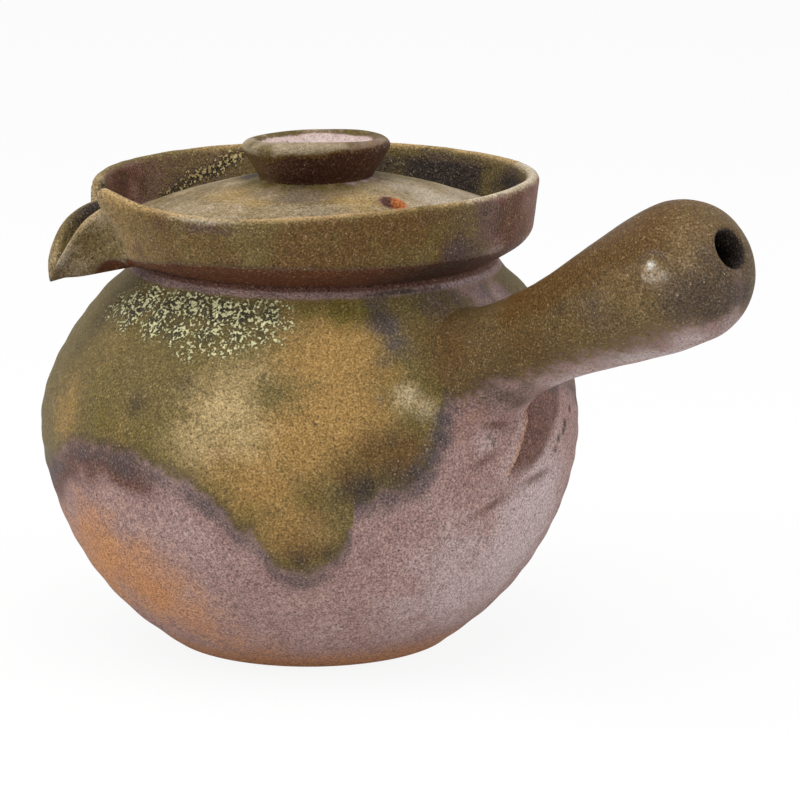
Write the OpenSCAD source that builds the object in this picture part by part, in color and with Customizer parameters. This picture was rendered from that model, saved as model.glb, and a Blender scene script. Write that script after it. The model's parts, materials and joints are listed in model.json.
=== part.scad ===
// Clay tea boiling pot: a thrown belly with a gallery collar, a pinched pouring lip,
// a hollow side handle and a lift-off lid with a cupped knob.
// Millimetres, +Z up. The origin is the centre of the foot, and the handle points along +X.

/* [Belly] */
// Outer radius at the widest point
belly_r = 70; // [64:1:80]
// Height of the widest point above the table
belly_z = 56; // [50:1:62]
// Radius of the flat foot
foot_r = 34; // [28:1:42]
// Height of the bevel round the foot
foot_bevel = 1.2; // [0.5:0.1:3]
// Thickness of the belly's wall
wall = 5; // [4:0.5:6.5]
// Thickness of the floor
floor_t = 6; // [4:0.5:9]

/* [Neck] */
// Outer radius in the groove under the collar
neck_r = 47; // [44:0.5:50]
// How far the shoulder's edge stands out from the groove
shoulder_step = 1.5; // [0.5:0.1:3]
// Height of the shoulder's edge above the table
shoulder_z = 97; // [90:1:104]
// Height of the groove, from the shoulder's edge to the collar
groove_h = 4; // [3:0.5:7]
// Thickness of the neck's wall
neck_wall = 4; // [3:0.5:5]

/* [Collar] */
// Outer radius at the collar's lower edge
collar_r = 55.5; // [54:0.5:58]
// Outer radius at the rim
rim_r = 57.5; // [56:0.5:62]
// Height of the collar, from the groove to the rim
collar_h = 20.5; // [18:0.5:26]
// Height of the flared underside
flare_h = 6; // [4:0.5:8]
// Thickness of the collar's wall at the rim
rim_t = 3.5; // [3:0.5:5]
// Depth of the lid's seat below the rim
seat_depth = 13.5; // [11:0.5:15]

/* [Pouring lip] */
// Turn of the lip from the handle, seen from above
lip_turn = -118; // [-140:1:-80]
// How far the tip stands out past the rim
lip_len = 13.5; // [9:0.5:18]
// How far the lip's edge dips below the rim where it leaves the collar
lip_dip = 3.5; // [2:0.5:6]
// Outside width of the lip where it leaves the collar
lip_w = 19; // [16:0.5:24]
// Outside width of the lip at its tip
lip_tip_w = 8; // [6:0.5:10]
// Thickness of clay under and beside the channel
lip_wall = 2.6; // [2:0.2:3.4]
// Width of the pinched throat through the collar
throat_w = 9; // [7:0.5:10]
// Depth of the pouring groove in the lid's seat
pour_groove = 3; // [2:0.5:4]

/* [Handle] */
// Rise of the handle above the horizontal, in degrees
handle_tilt = 27; // [20:1:32]
// Height where the handle's axis meets the pot's axis
handle_z = 50; // [46:1:54]
// Length of the handle from the belly's surface to its end
handle_len = 81.5; // [66:0.5:95]
// Length of the even stretch between the belly and the waist
waist_len = 17; // [10:1:24]
// Radius of the handle at its waist
waist_r = 12.6; // [11:0.2:14]
// Radius of the handle at its bulb
bulb_r = 17.4; // [16:0.2:20]
// Length of the round end
bulb_end = 16; // [13:0.5:20]
// Thickness of the handle's wall
handle_wall = 4.5; // [3.5:0.5:5.5]
// Radius of the hole in the handle's end
end_hole_r = 4.7; // [3:0.1:6]
// Thickness of clay round that hole
end_t = 6; // [4:0.5:8]
// Width of the clay roll smeared round the root
roll_w = 10; // [6:0.5:12]
// Length of that roll along the handle
roll_len = 12; // [9:0.5:16]

/* [Lid] */
// Gap between the lid's edge and the collar
lid_gap = 1.6; // [1:0.1:3]
// Thickness of the lid's edge
lid_edge = 3.2; // [2.6:0.1:5]
// Rise of the lid from its edge to the knob's foot
lid_rise = 9.8; // [6:0.2:12]
// Thickness of the lid's dome
lid_t = 5; // [4:0.5:6]
// Radius of the steam vent
vent_r = 2.8; // [1.5:0.1:3.5]
// Distance of the vent from the lid's axis
vent_out = 29.5; // [24:0.5:34]
// Turn of the vent from the handle
vent_turn = -8; // [-60:1:60]
// Gap between the flange and the neck, where tea runs out and leaves are held
flange_gap = 1.5; // [1:0.1:2.5]
// Thickness of the flange under the lid
flange_t = 3; // [2.5:0.5:4]
// Depth of the flange below the lid's seat
flange_h = 8; // [5:0.5:12]

/* [Knob] */
// Radius of the knob's foot
knob_foot_r = 14.5; // [11:0.5:17]
// Radius of the knob's lip
knob_r = 19.2; // [17:0.1:22]
// Height of the knob
knob_h = 9.6; // [8:0.2:12]
// Thickness of the knob's lip
knob_lip_t = 4; // [2.5:0.1:4.4]
// Depth of the dish in the knob's top
dish_h = 5; // [4.5:0.5:6]

/* [Hidden] */
$fn = 96;
// Thickness of the slip that lutes two clay pieces together
slip = 0.1;
// Room past a face that a cut runs out of
over = 5;
// Straight steps in a long and in a short curve
long_steps = 18;
short_steps = 8;

raw_clay = "#a08080";
ash_clay = "#7d6536";
dark_clay = "#5c4a38";

// Half heights of the two ellipses that meet at the widest point
shoulder_r = neck_r + shoulder_step;
belly_drop = belly_z / sqrt(1 - pow(foot_r / belly_r, 2));
belly_rise = (shoulder_z - belly_z) / sqrt(1 - pow(shoulder_r / belly_r, 2));
mouth_r = neck_r - neck_wall;
// Heights of the collar
joint_z = shoulder_z + groove_h;
collar_z = joint_z + flare_h;
rim_z = joint_z + collar_h;
seat_z = rim_z - seat_depth;
seat_r = collar_r - rim_t;
collar_round = 3;
// The lip's tip lies level with the groove
lip_z = joint_z - groove_h / 2;
lip_root = neck_r - lip_wall;
lip_reach = rim_r + lip_len;
lip_tip_t = 1.2;
// Where the handle's axis comes out of the upper belly, measured along it from the pot's axis
axis_drop = handle_z - belly_z;
meet_a = pow(cos(handle_tilt) / belly_r, 2) + pow(sin(handle_tilt) / belly_rise, 2);
meet_b = sin(handle_tilt) * axis_drop / pow(belly_rise, 2);
meet_c = pow(axis_drop / belly_rise, 2) - 1;
meet_s = (sqrt(pow(meet_b, 2) - meet_a * meet_c) - meet_b) / meet_a;
// Other places along the handle
handle_reach = meet_s + handle_len;
waist_s = meet_s + waist_len;
bulb_s = handle_reach - bulb_end;
root_in = 14;
root_s = meet_s - root_in;
hole_land = 1.5;
// The roll's thin outer edge, and how far its wide edge lies under the belly's surface
roll_edge = 0.5;
roll_sink = 5;
// The lid
lid_r = seat_r - lid_gap;
lid_top_z = seat_z + lid_edge + lid_rise;
lid_round = 1.5;
// Bulge of the lid's curve above a straight slope, as a share of its rise
dome_bulge = 0.64;
flange_r = mouth_r - flange_gap;
hollow_r = flange_r - flange_t;
flange_bevel = 1;
knob_z = lid_top_z;
dish_in = 6;
dish_round = 3;
dish_floor_r = knob_foot_r - dish_in;

// Points of an ellipse round [0, z], from height z0 to height z1
function ellipse_points(r, h, z, z0, z1, steps) =
    let (a0 = asin((z0 - z) / h), a1 = asin((z1 - z) / h))
    [for (i = [0:steps]) let (a = a0 + (a1 - a0) * i / steps) [r * cos(a), z + h * sin(a)]];

// Points of a circular arc
function arc_points(c, r, a0, a1, steps) =
    [for (i = [0:steps]) let (a = a0 + (a1 - a0) * i / steps) c + r * [cos(a), sin(a)]];

// A curve that leaves p0 towards p1 and arrives at p2
function bend_points(p0, p1, p2, steps) =
    [for (i = [0:steps]) let (t = i / steps)
        pow(1 - t, 2) * p0 + 2 * t * (1 - t) * p1 + pow(t, 2) * p2];

// All but the first of a row of points
function after_first(points) = [for (i = [1:len(points) - 1]) points[i]];

// An even ease from 0 to 1
function ease(t) = let (c = min(1, max(0, t))) c * c * (3 - 2 * c);

// Outside of the bowl from the foot to the widest point, grown by g
function bowl_outside(g = 0) = concat(
    [[0, -g], [foot_r + g, -g]],
    ellipse_points(belly_r + g, belly_drop + g, belly_z, foot_bevel, belly_z, long_steps));

// Outside of the shoulder from the widest point to the top of the neck, grown by g
function shoulder_outside(g = 0) = concat(
    ellipse_points(belly_r + g, belly_rise + g, belly_z, belly_z, shoulder_z, long_steps),
    [[neck_r + g, shoulder_z + groove_h / 2], [neck_r + g, joint_z]]);

// Inside of the shoulder from the mouth down to the widest point
function shoulder_inside() =
    let (r = belly_r - wall, rise = belly_rise - wall,
         top = belly_z + rise * sqrt(1 - pow(mouth_r / r, 2)))
    concat([[mouth_r, joint_z]], ellipse_points(r, rise, belly_z, top, belly_z, long_steps));

// Inside of the bowl from the widest point down to the floor
function bowl_inside() = concat(
    ellipse_points(belly_r - wall, belly_drop - wall, belly_z, belly_z, floor_t, long_steps),
    [[0, floor_t]]);

// Outside of the collar from the joint to the crest of the rim, grown by g
function collar_outside(g = 0) = concat(
    [[neck_r + g, joint_z]],
    bend_points([collar_r - collar_round + g, collar_z - collar_round / 2],
                [collar_r + g, collar_z],
                [collar_r + g + collar_round / 4, collar_z + collar_round], short_steps),
    [[rim_r + g, rim_z - rim_t / 2]],
    arc_points([rim_r - rim_t / 2, rim_z - rim_t / 2], rim_t / 2 + g, 15, 90, short_steps));

// Inside of the collar from the crest of the rim down to the lid's seat and the mouth
function collar_inside() = concat(
    arc_points([rim_r - rim_t / 2, rim_z - rim_t / 2], rim_t / 2, 105, 180, short_steps),
    [[seat_r, seat_z], [mouth_r, seat_z], [mouth_r, joint_z]]);

// Radius of the handle at a place along it
function handle_r(s) =
    s < bulb_s ? waist_r + (bulb_r - waist_r) * ease((s - waist_s) / (bulb_s - waist_s))
               : bulb_r * sqrt(max(0, 1 - pow((s - bulb_s) / bulb_end, 2)));

// Place along the round end where the handle has narrowed to radius r
function end_place(r) = bulb_s + bulb_end * sqrt(1 - pow(r / bulb_r, 2));

// A half ellipse standing across the lip, flat side up, at radius x from the pot's axis
function cradle(x, w, top, bottom) =
    [for (i = [0:2 * short_steps]) let (a = 180 + 180 * i / (2 * short_steps))
        [x, w / 2 * cos(a), top + (top - bottom) * sin(a)]];

// Solid through a row of like sections
module loft(sections) {
    n = len(sections[0]);
    m = len(sections);
    sides = [for (k = [0:m - 2], i = [0:n - 1]) let (j = (i + 1) % n)
        each [[k * n + i, (k + 1) * n + i, k * n + j],
              [k * n + j, (k + 1) * n + i, (k + 1) * n + j]]];
    ends = [for (i = [1:n - 2])
        each [[0, i, i + 1], [(m - 1) * n, (m - 1) * n + i + 1, (m - 1) * n + i]]];
    polyhedron([for (s = sections) each s], concat(sides, ends));
}

// The handle's own frame: its axis runs along z here, from the pot's axis outwards
module along_handle() {
    translate([0, 0, handle_z]) rotate([0, 90 - handle_tilt, 0]) children();
}

// Everything inside the outer surface of the belly, with room for the slip
module belly_body() {
    rotate_extrude() polygon(concat(bowl_outside(slip), after_first(shoulder_outside(slip)), [[0, joint_z]]));
}

// Everything inside the outer surface of the neck and collar, with room for the slip
module collar_body() {
    rotate_extrude() polygon(concat(collar_outside(slip), [[0, rim_z + over], [0, joint_z]]));
}

// The run of the tea: a groove in the lid's seat, the pinched throat and the open lip
module pour_channel() {
    seat_floor = seat_z - pour_groove;
    tip_floor = lip_z + lip_wall * 0.6;
    tip_w = lip_tip_w - 2 * lip_wall * 0.8;
    in_collar = [for (x = [mouth_r - over, collar_r]) cradle(x, throat_w, rim_z + over, seat_floor)];
    in_lip = [for (i = [1:short_steps]) let (t = i / short_steps, f = ease(t))
        cradle(collar_r + (lip_reach + lip_tip_t - collar_r) * t,
               throat_w + (lip_w - 2 * lip_wall - throat_w) * sin(180 * t) * 0.4 + (tip_w - throat_w) * f,
               rim_z + over,
               seat_floor + (tip_floor - seat_floor) * f)];
    rotate([0, 0, lip_turn]) loft(concat(in_collar, in_lip));
}

module pot_bowl() {
    color(raw_clay) rotate_extrude() polygon(concat(bowl_outside(), bowl_inside()));
}

module pot_shoulder() {
    color(raw_clay) rotate_extrude() polygon(concat(shoulder_outside(), shoulder_inside()));
}

module gallery_collar() {
    color(ash_clay) difference() {
        rotate_extrude() polygon(concat(collar_outside(), collar_inside()));
        pour_channel();
    }
}

module pouring_lip() {
    top_z = rim_z - lip_dip;
    color(ash_clay) difference() {
        rotate([0, 0, lip_turn]) loft([for (i = [0:2 * short_steps]) let (t = i / (2 * short_steps))
            let (x = lip_root + (lip_reach - lip_root) * sin(90 * t),
                 u = max(0, (x - rim_r) / lip_len))
            cradle(x, lip_w + (lip_tip_w - lip_w) * ease(u),
                   lip_z + lip_tip_t + (top_z - lip_z - lip_tip_t) * sqrt(1 - u * u),
                   lip_z)]);
        belly_body();
        collar_body();
        pour_channel();
    }
}

module side_handle() {
    flat_s = end_place(end_hole_r + hole_land);
    cap_s = flat_s - end_t;
    outside = concat(
        [[0, root_s]],
        [for (i = [0:long_steps]) let (s = root_s + (bulb_s - root_s) * i / long_steps) [handle_r(s), s]],
        [for (i = [1:long_steps]) let (a = acos((end_hole_r + hole_land) / bulb_r) * i / long_steps)
            [bulb_r * cos(a), bulb_s + bulb_end * sin(a)]],
        [[0, flat_s]]);
    inside = concat(
        [[0, root_s - over], [waist_r - handle_wall, root_s - over]],
        [for (i = [0:long_steps]) let (s = waist_s + (cap_s - waist_s) * i / long_steps)
            [min(handle_r(s) - handle_wall, bulb_r - handle_wall), s]],
        [[0, cap_s]]);
    color(ash_clay) difference() {
        along_handle() difference() {
            rotate_extrude() polygon(outside);
            rotate_extrude() polygon(inside);
            translate([0, 0, cap_s - over]) cylinder(r = end_hole_r, h = end_t + 2 * over);
        }
        belly_body();
    }
}

module handle_luting() {
    bore_r = waist_r + slip;
    tip_s = meet_s + roll_len;
    color(raw_clay) difference() {
        along_handle() rotate_extrude() polygon(concat(
            [[bore_r, root_s], [bore_r + roll_w, root_s]],
            bend_points([bore_r + roll_w, meet_s - roll_sink], [bore_r + 2 * roll_edge, meet_s],
                        [bore_r + roll_edge, tip_s], long_steps),
            [[bore_r, tip_s]]));
        belly_body();
    }
}

module lid_dome() {
    edge_z = seat_z + lid_edge;
    bulge_z = edge_z + lid_rise * dome_bulge;
    color(ash_clay) difference() {
        rotate_extrude() polygon(concat(
            [[hollow_r, seat_z], [lid_r - lid_round, seat_z], [lid_r, seat_z + lid_round]],
            arc_points([lid_r - lid_round, edge_z - lid_round], lid_round, 0, 75, short_steps),
            bend_points([lid_r - 2 * lid_round, edge_z], [(lid_r + knob_foot_r) / 2, bulge_z],
                        [knob_foot_r, lid_top_z], long_steps),
            [[0, lid_top_z], [0, lid_top_z - lid_t]],
            bend_points([knob_foot_r, lid_top_z - lid_t], [(hollow_r + knob_foot_r) / 2, bulge_z - lid_t],
                        [hollow_r, seat_z], long_steps)));
        rotate([0, 0, vent_turn]) translate([vent_out, 0, seat_z - over])
            cylinder(r = vent_r, h = lid_edge + lid_rise + 2 * over);
    }
}

module lid_flange() {
    color(raw_clay) rotate_extrude() polygon([
        [hollow_r, seat_z], [hollow_r, seat_z - flange_h], [flange_r - flange_bevel, seat_z - flange_h],
        [flange_r, seat_z - flange_h + flange_bevel], [flange_r, seat_z]]);
}

module lid_knob() {
    lip_z0 = knob_z + knob_h - knob_lip_t / 2;
    lip_c = [knob_r - knob_lip_t / 2, lip_z0];
    color(dark_clay) rotate_extrude() polygon(concat(
        [[0, knob_z], [knob_foot_r, knob_z]],
        arc_points(lip_c, knob_lip_t / 2, -30, 165, 2 * short_steps),
        bend_points([knob_r - knob_lip_t, lip_z0], [dish_floor_r + dish_round, knob_z + knob_h - dish_h],
                    [dish_floor_r, knob_z + knob_h - dish_h], short_steps),
        [[0, knob_z + knob_h - dish_h]]));
}

pot_bowl();
pot_shoulder();
gallery_collar();
pouring_lip();
side_handle();
handle_luting();
lid_dome();
lid_flange();
lid_knob();
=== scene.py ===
"""Dresses a wood-fired clay tea boiling pot: its thrown belly, the collar with the pinched pouring lip, the
hollow side handle with the smeared clay at its root, and the loose lid with its flange and cupped knob.

Lengths are in millimetres while a piece is shaped and in metres once it is a mesh. Azimuths are in degrees
round the pot's axis, with the handle at 0. The strength of a mark runs from 0 to 1, and the width of a bell
has the unit of the distance that it is given.
"""

import json
import logging
import math
from dataclasses import dataclass, field
from enum import Enum
from typing import Any, Sequence, Union

import bmesh
import bpy
import numpy as np
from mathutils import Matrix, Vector


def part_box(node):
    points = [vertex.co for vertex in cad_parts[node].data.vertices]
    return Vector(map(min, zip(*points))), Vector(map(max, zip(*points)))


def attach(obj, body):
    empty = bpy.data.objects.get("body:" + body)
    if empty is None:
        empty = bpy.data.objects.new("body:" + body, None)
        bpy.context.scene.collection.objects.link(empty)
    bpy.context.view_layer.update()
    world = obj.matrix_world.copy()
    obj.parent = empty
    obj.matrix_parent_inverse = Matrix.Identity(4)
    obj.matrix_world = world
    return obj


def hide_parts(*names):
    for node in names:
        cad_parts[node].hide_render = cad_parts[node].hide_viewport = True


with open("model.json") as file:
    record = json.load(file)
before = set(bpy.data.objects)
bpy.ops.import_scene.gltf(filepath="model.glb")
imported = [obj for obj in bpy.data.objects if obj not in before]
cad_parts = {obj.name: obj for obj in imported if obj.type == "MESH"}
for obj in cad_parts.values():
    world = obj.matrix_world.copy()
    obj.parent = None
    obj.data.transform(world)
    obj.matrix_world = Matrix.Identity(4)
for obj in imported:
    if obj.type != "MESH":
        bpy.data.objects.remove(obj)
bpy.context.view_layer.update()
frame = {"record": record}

MM = 0.001
LOG = logging.getLogger("tea_boiler")

# Azimuth that points to the right in the picture
RIGHT = 41.0
UP = np.array([0.0, 0.0, 1.0])

Screen = tuple[int, int, int]
Line = tuple[tuple[float, float], ...]
Stroke = tuple[tuple[float, float], tuple[float, float]]


class Mark(str, Enum):
    """What the kiln leaves on the clay, each a point attribute from 0 to 1; some marks also carry painted
    shade, painted light and a painted highlight in places.
    """

    ASH = "ash"
    GOLD = "gold"
    TAN = "tan"
    MOSS = "moss"
    SOOT_AND_SHADE = "soot_and_shade"
    HALO = "halo_and_shade"
    FLAME = "blush"
    IRON_AND_SHADE = "iron_and_shade"
    PALE_AND_LIGHT = "pale"
    CRUST = "crust"
    DROP_AND_HIGHLIGHT = "drop"


Marks = dict[Mark, np.ndarray]
Ring = dict[Mark, Line]


def ease(share: np.ndarray) -> np.ndarray:
    """An even ease from 0 to 1."""
    kept = np.clip(share, 0.0, 1.0)
    return kept * kept * (3.0 - 2.0 * kept)


def bump(distance: np.ndarray, width: float) -> np.ndarray:
    """A bell that is 1 at distance 0 and falls away over width."""
    return np.exp(-0.5 * (distance / width) ** 2)


def window(value: np.ndarray, low: float, high: float, rise: float, fall: float) -> np.ndarray:
    """1 between two ends, eased up over rise from the low one and down over fall to the high one."""
    return ease((value - low) / rise) * ease((high - value) / fall)


def wrapped(angle: np.ndarray) -> np.ndarray:
    """Angles in degrees, brought between -180 and 180."""
    return np.mod(angle + 180.0, 360.0) - 180.0


def round_ring(azimuth: np.ndarray, ring: Line) -> np.ndarray:
    """Values of a ring of pairs (azimuth, value), even between two pairs."""
    return np.interp(azimuth, *np.array(ring, float).T, period=360.0)


def from_axis(points: np.ndarray) -> np.ndarray:
    """Distance of each point from the pot's axis."""
    return np.hypot(points[:, 0], points[:, 1])


def azimuths(points: np.ndarray) -> np.ndarray:
    """Azimuth of each point in degrees."""
    return np.degrees(np.arctan2(points[:, 1], points[:, 0]))


def apart(points: np.ndarray, place: np.ndarray) -> np.ndarray:
    """Distance of each point from a place."""
    return np.linalg.norm(points - place, axis=1)


def unit(ways: np.ndarray) -> np.ndarray:
    """The directions at length 1, and those without a length left at 0."""
    return ways / np.maximum(np.linalg.norm(ways, axis=1), 1e-9)[:, None]


def compass(azimuth: float) -> np.ndarray:
    """The level direction of an azimuth, as x and y."""
    turn = math.radians(azimuth)
    return np.array([math.cos(turn), math.sin(turn)])


def turned(radius: Union[np.ndarray, float], turn: np.ndarray, height: np.ndarray) -> np.ndarray:
    """Points by their radius, turn in radians and height."""
    return np.column_stack([radius * np.cos(turn), radius * np.sin(turn), height])


def strengthen(marks: Marks, mark: Mark, *others: np.ndarray) -> None:
    """Raises a mark to the strongest of itself and others."""
    marks[mark] = np.maximum.reduce([marks[mark], *others])


def drawn(share: np.ndarray, start: np.ndarray, corner: np.ndarray, end: np.ndarray) -> np.ndarray:
    """Points at a share of the way on a curve that leaves start towards corner and arrives at end."""
    return (1.0 - share) ** 2 * start + 2.0 * share * (1.0 - share) * corner + share**2 * end


def bend(start: Sequence[float], corner: Sequence[float], end: Sequence[float], steps: int) -> np.ndarray:
    """A curve of a few straight steps that leaves start towards corner and arrives at end."""
    share = np.linspace(0.0, 1.0, steps + 1)[:, None]
    return drawn(share, *(np.asarray(point, float) for point in (start, corner, end)))


def arc(centre: Sequence[float], radius: float, first: float, last: float, steps: int) -> np.ndarray:
    """Points of a circular arc between two angles in degrees."""
    angle = np.radians(np.linspace(first, last, steps + 1))
    return np.asarray(centre, float) + radius * np.column_stack([np.cos(angle), np.sin(angle)])


def even_rows(corners: np.ndarray, gap: float) -> np.ndarray:
    """Spaces points evenly along an outline.

    Args:
        corners: Points of the outline, in order.
        gap: Wanted distance between two points.

    Returns:
        The outline's points at that distance, with both ends kept.
    """
    steps = np.hypot(*np.diff(corners, axis=0).T)
    along = np.concatenate([[0.0], np.cumsum(steps)])
    wanted = np.linspace(0.0, along[-1], max(2, round(along[-1] / gap) + 1))
    return np.column_stack([np.interp(wanted, along, corners[:, side]) for side in range(2)])


class Grain:
    """Smooth noise in space, the same on every run."""

    SIDE = 64
    # Shift between two layers, in lattice steps
    SHIFT = 11.7

    def __init__(self, seed: int) -> None:
        """Fills the lattice from a seed."""
        self.lattice = np.random.default_rng(seed).uniform(-1.0, 1.0, (self.SIDE,) * 3)

    def _layer(self, points: np.ndarray) -> np.ndarray:
        """Noise at points that are counted in lattice steps.

        Args:
            points: The points.

        Returns:
            The noise at each point.
        """
        low = np.floor(points)
        part = ease(points - low)
        cell = low.astype(int)
        total = np.zeros(len(points))
        for corner in np.ndindex(2, 2, 2):
            share = np.where(np.array(corner, bool), part, 1.0 - part).prod(axis=1)
            place = (cell + corner) % self.SIDE
            total += share * self.lattice[place[:, 0], place[:, 1], place[:, 2]]
        return total

    def at(self, points: np.ndarray, size: float, layers: int = 1) -> np.ndarray:
        """Noise of one grain size.

        Args:
            points: Places in mm.
            size: Size of the coarsest grain in mm.
            layers: Number of layers, each half as coarse and half as strong as the one before.

        Returns:
            A value from about -1 to 1 for each point.
        """
        total = np.zeros(len(points))
        for layer in range(layers):
            total += 0.5**layer * self._layer(points * (2.0**layer / size) + self.SHIFT * layer)
        return total


@dataclass(frozen=True)
class Spot:
    """One mark of the kiln: its place on a piece, as that piece counts it, its radius and its strength."""

    azimuth: float
    reach: float
    radius: float
    strength: float = 1.0


Fire = dict[Mark, tuple[Spot, ...]]


@dataclass(frozen=True)
class Swell:
    """A bell along a length or an angle: its middle, height and width, and its width past the middle."""

    middle: float
    height: float
    width: float
    width_past: float | None = None

    def at(self, where: np.ndarray) -> np.ndarray:
        """The bell's height at each place.

        Args:
            where: Places, counted as the bell's middle is.

        Returns:
            The height at each place.
        """
        away = where - self.middle
        past = self.width if self.width_past is None else self.width_past
        return self.height * bump(away, np.where(away > 0.0, past, self.width))


@dataclass(frozen=True)
class Lean:
    """How the wet collar was pushed off the wheel's axis."""

    reach: float = 1.8
    azimuth: float = RIGHT
    low: float = 60.0
    rise: float = 45.0

    def shifted(self, points: np.ndarray) -> np.ndarray:
        """The points, with the upper ones moved sideways."""
        way = np.array([*compass(self.azimuth), 0.0])
        return points + self.reach * ease((points[:, 2] - self.low) / self.rise)[:, None] * way


@dataclass(frozen=True)
class Tilt:
    """How the loose lid lies in its hand-made gallery, higher on one side."""

    slope: float = 0.014
    azimuth: float = RIGHT
    lift: float = 0.3

    def laid(self, points: np.ndarray) -> np.ndarray:
        """The points, raised by their place across the gallery."""
        across = points[:, :2] @ compass(self.azimuth)
        return points + (self.lift + self.slope * across)[:, None] * UP


def placed(name: str, data: bpy.types.ID) -> bpy.types.Object:
    """An object in the scene that shows a mesh, a lamp or a camera.

    Args:
        name: Name of the object.
        data: What the object shows.

    Returns:
        The object.
    """
    made = bpy.data.objects.new(name, data)
    bpy.context.scene.collection.objects.link(made)
    return made


class Thrown:
    """A form turned on the wheel: an outline spun into a mesh, whose vertices then move as wet clay does."""

    # Vertices closer than this are one, in mm
    WELD = 1e-4
    # Vertices that are looked up on the outline at a time
    CHUNK = 2000
    # Faces within this many radii of a hole's middle are cut away for it
    CUT = 1.35

    def __init__(self, outline: np.ndarray, steps: int, closed: bool = False) -> None:
        """Spins the outline.

        Args:
            outline: Points (radius, height) in order, with the clay on their left.
            steps: Steps in the full turn, a multiple of 4.
            closed: Whether the last point joins the first.
        """
        self.outline = np.asarray(outline, float)
        self.mesh = bmesh.new()
        verts = [self.mesh.verts.new((radius, 0.0, height)) for radius, height in self.outline]
        edges = [self.mesh.edges.new(pair) for pair in zip(verts, verts[1:])]
        if closed:
            edges.append(self.mesh.edges.new((verts[-1], verts[0])))
        bmesh.ops.spin(
            self.mesh,
            geom=[*verts, *edges],
            cent=(0.0, 0.0, 0.0),
            axis=(0.0, 0.0, 1.0),
            dvec=(0.0, 0.0, 0.0),
            angle=math.tau / 4.0,
            steps=steps // 4,
        )
        for axis in "XY":
            geom = [*self.mesh.verts, *self.mesh.edges, *self.mesh.faces]
            bmesh.ops.mirror(self.mesh, geom=geom, merge_dist=self.WELD, axis=axis)
        self.seal()

    def seal(self) -> None:
        """Merges doubles, turns the faces outwards and notes where each vertex lies on the outline."""
        bmesh.ops.remove_doubles(self.mesh, verts=self.mesh.verts, dist=self.WELD)
        bmesh.ops.recalc_face_normals(self.mesh, faces=self.mesh.faces)
        self.points = np.array([vert.co[:] for vert in self.mesh.verts])
        self.turn = np.arctan2(self.points[:, 1], self.points[:, 0])
        flat = np.column_stack([from_axis(self.points), self.points[:, 2]])
        chunks = np.array_split(flat, max(1, len(flat) // self.CHUNK))
        self.row = np.concatenate(
            [((chunk[:, None, :] - self.outline) ** 2).sum(axis=2).argmin(axis=1) for chunk in chunks]
        )

    @property
    def azimuth(self) -> np.ndarray:
        """Azimuth of each vertex in degrees."""
        return np.degrees(self.turn)

    def outward(self) -> np.ndarray:
        """The direction that faces out of the clay at each vertex.

        Returns:
            A vector of length 1 for each vertex.
        """
        along = np.gradient(self.outline, axis=0)
        out = unit(np.column_stack([along[:, 1], -along[:, 0]]))[self.row]
        return turned(out[:, 0], self.turn, out[:, 1])

    def cut_hole(self, centre: np.ndarray, radius: float) -> None:
        """Cuts an upright round hole through the wall.

        Args:
            centre: The hole's place, as x and y.
            radius: The hole's radius.
        """
        inside = [
            face
            for face in self.mesh.faces
            if np.hypot(*(np.array(face.calc_center_median()[:2]) - centre)) < self.CUT * radius
        ]
        bmesh.ops.delete(self.mesh, geom=inside, context="FACES")
        edges = [edge for edge in self.mesh.edges if edge.is_boundary]
        for vert in {vert for edge in edges for vert in edge.verts}:
            away = np.array(vert.co[:2]) - centre
            vert.co.xy = centre + away * radius / np.hypot(*away)
        bmesh.ops.bridge_loops(self.mesh, edges=edges)
        self.seal()

    def piece(self, name: str, marks: Marks) -> bpy.types.Object:
        """Makes the finished object.

        Args:
            name: The object's name.
            marks: The kiln's marks, one value for each vertex.

        Returns:
            The object, in metres, with the marks as point attributes.
        """
        data = bpy.data.meshes.new(name)
        for vert, place in zip(self.mesh.verts, self.points * MM):
            vert.co = place
        self.mesh.to_mesh(data)
        self.mesh.free()
        data.polygons.foreach_set("use_smooth", [True] * len(data.polygons))
        for mark, values in marks.items():
            layer = data.attributes.new(mark.value, "FLOAT", "POINT")
            layer.data.foreach_set("value", np.clip(values, 0.0, 1.0).astype(np.float32))
        return placed(name, data)


class Wire:
    """A shader socket that takes part in Python's arithmetic."""

    def __init__(self, graph: "Graph", socket: bpy.types.NodeSocket) -> None:
        """Wraps an output socket of a graph."""
        self.graph = graph
        self.socket = socket

    def __add__(self, other: "Value") -> "Wire":
        """Sum."""
        return self.graph.math("ADD", self, other)

    __radd__ = __add__

    def __sub__(self, other: "Value") -> "Wire":
        """Difference."""
        return self.graph.math("SUBTRACT", self, other)

    def __rsub__(self, other: "Value") -> "Wire":
        """Difference from a number."""
        return self.graph.math("SUBTRACT", other, self)

    def __mul__(self, other: "Value") -> "Wire":
        """Product."""
        return self.graph.math("MULTIPLY", self, other)

    __rmul__ = __mul__

    def clamped(self) -> "Wire":
        """The value held between 0 and 1."""
        return self.graph.math("ADD", self, 0.0, {"use_clamp": True})

    def fit(self, low: float, high: float) -> "Wire":
        """An even ease from 0 at low to 1 at high."""
        inputs = {"Value": self, "From Min": low, "From Max": high}
        return self.graph.wire("ShaderNodeMapRange", "Result", {"interpolation_type": "SMOOTHSTEP"}, inputs)


Value = Union[Wire, float]


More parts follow.
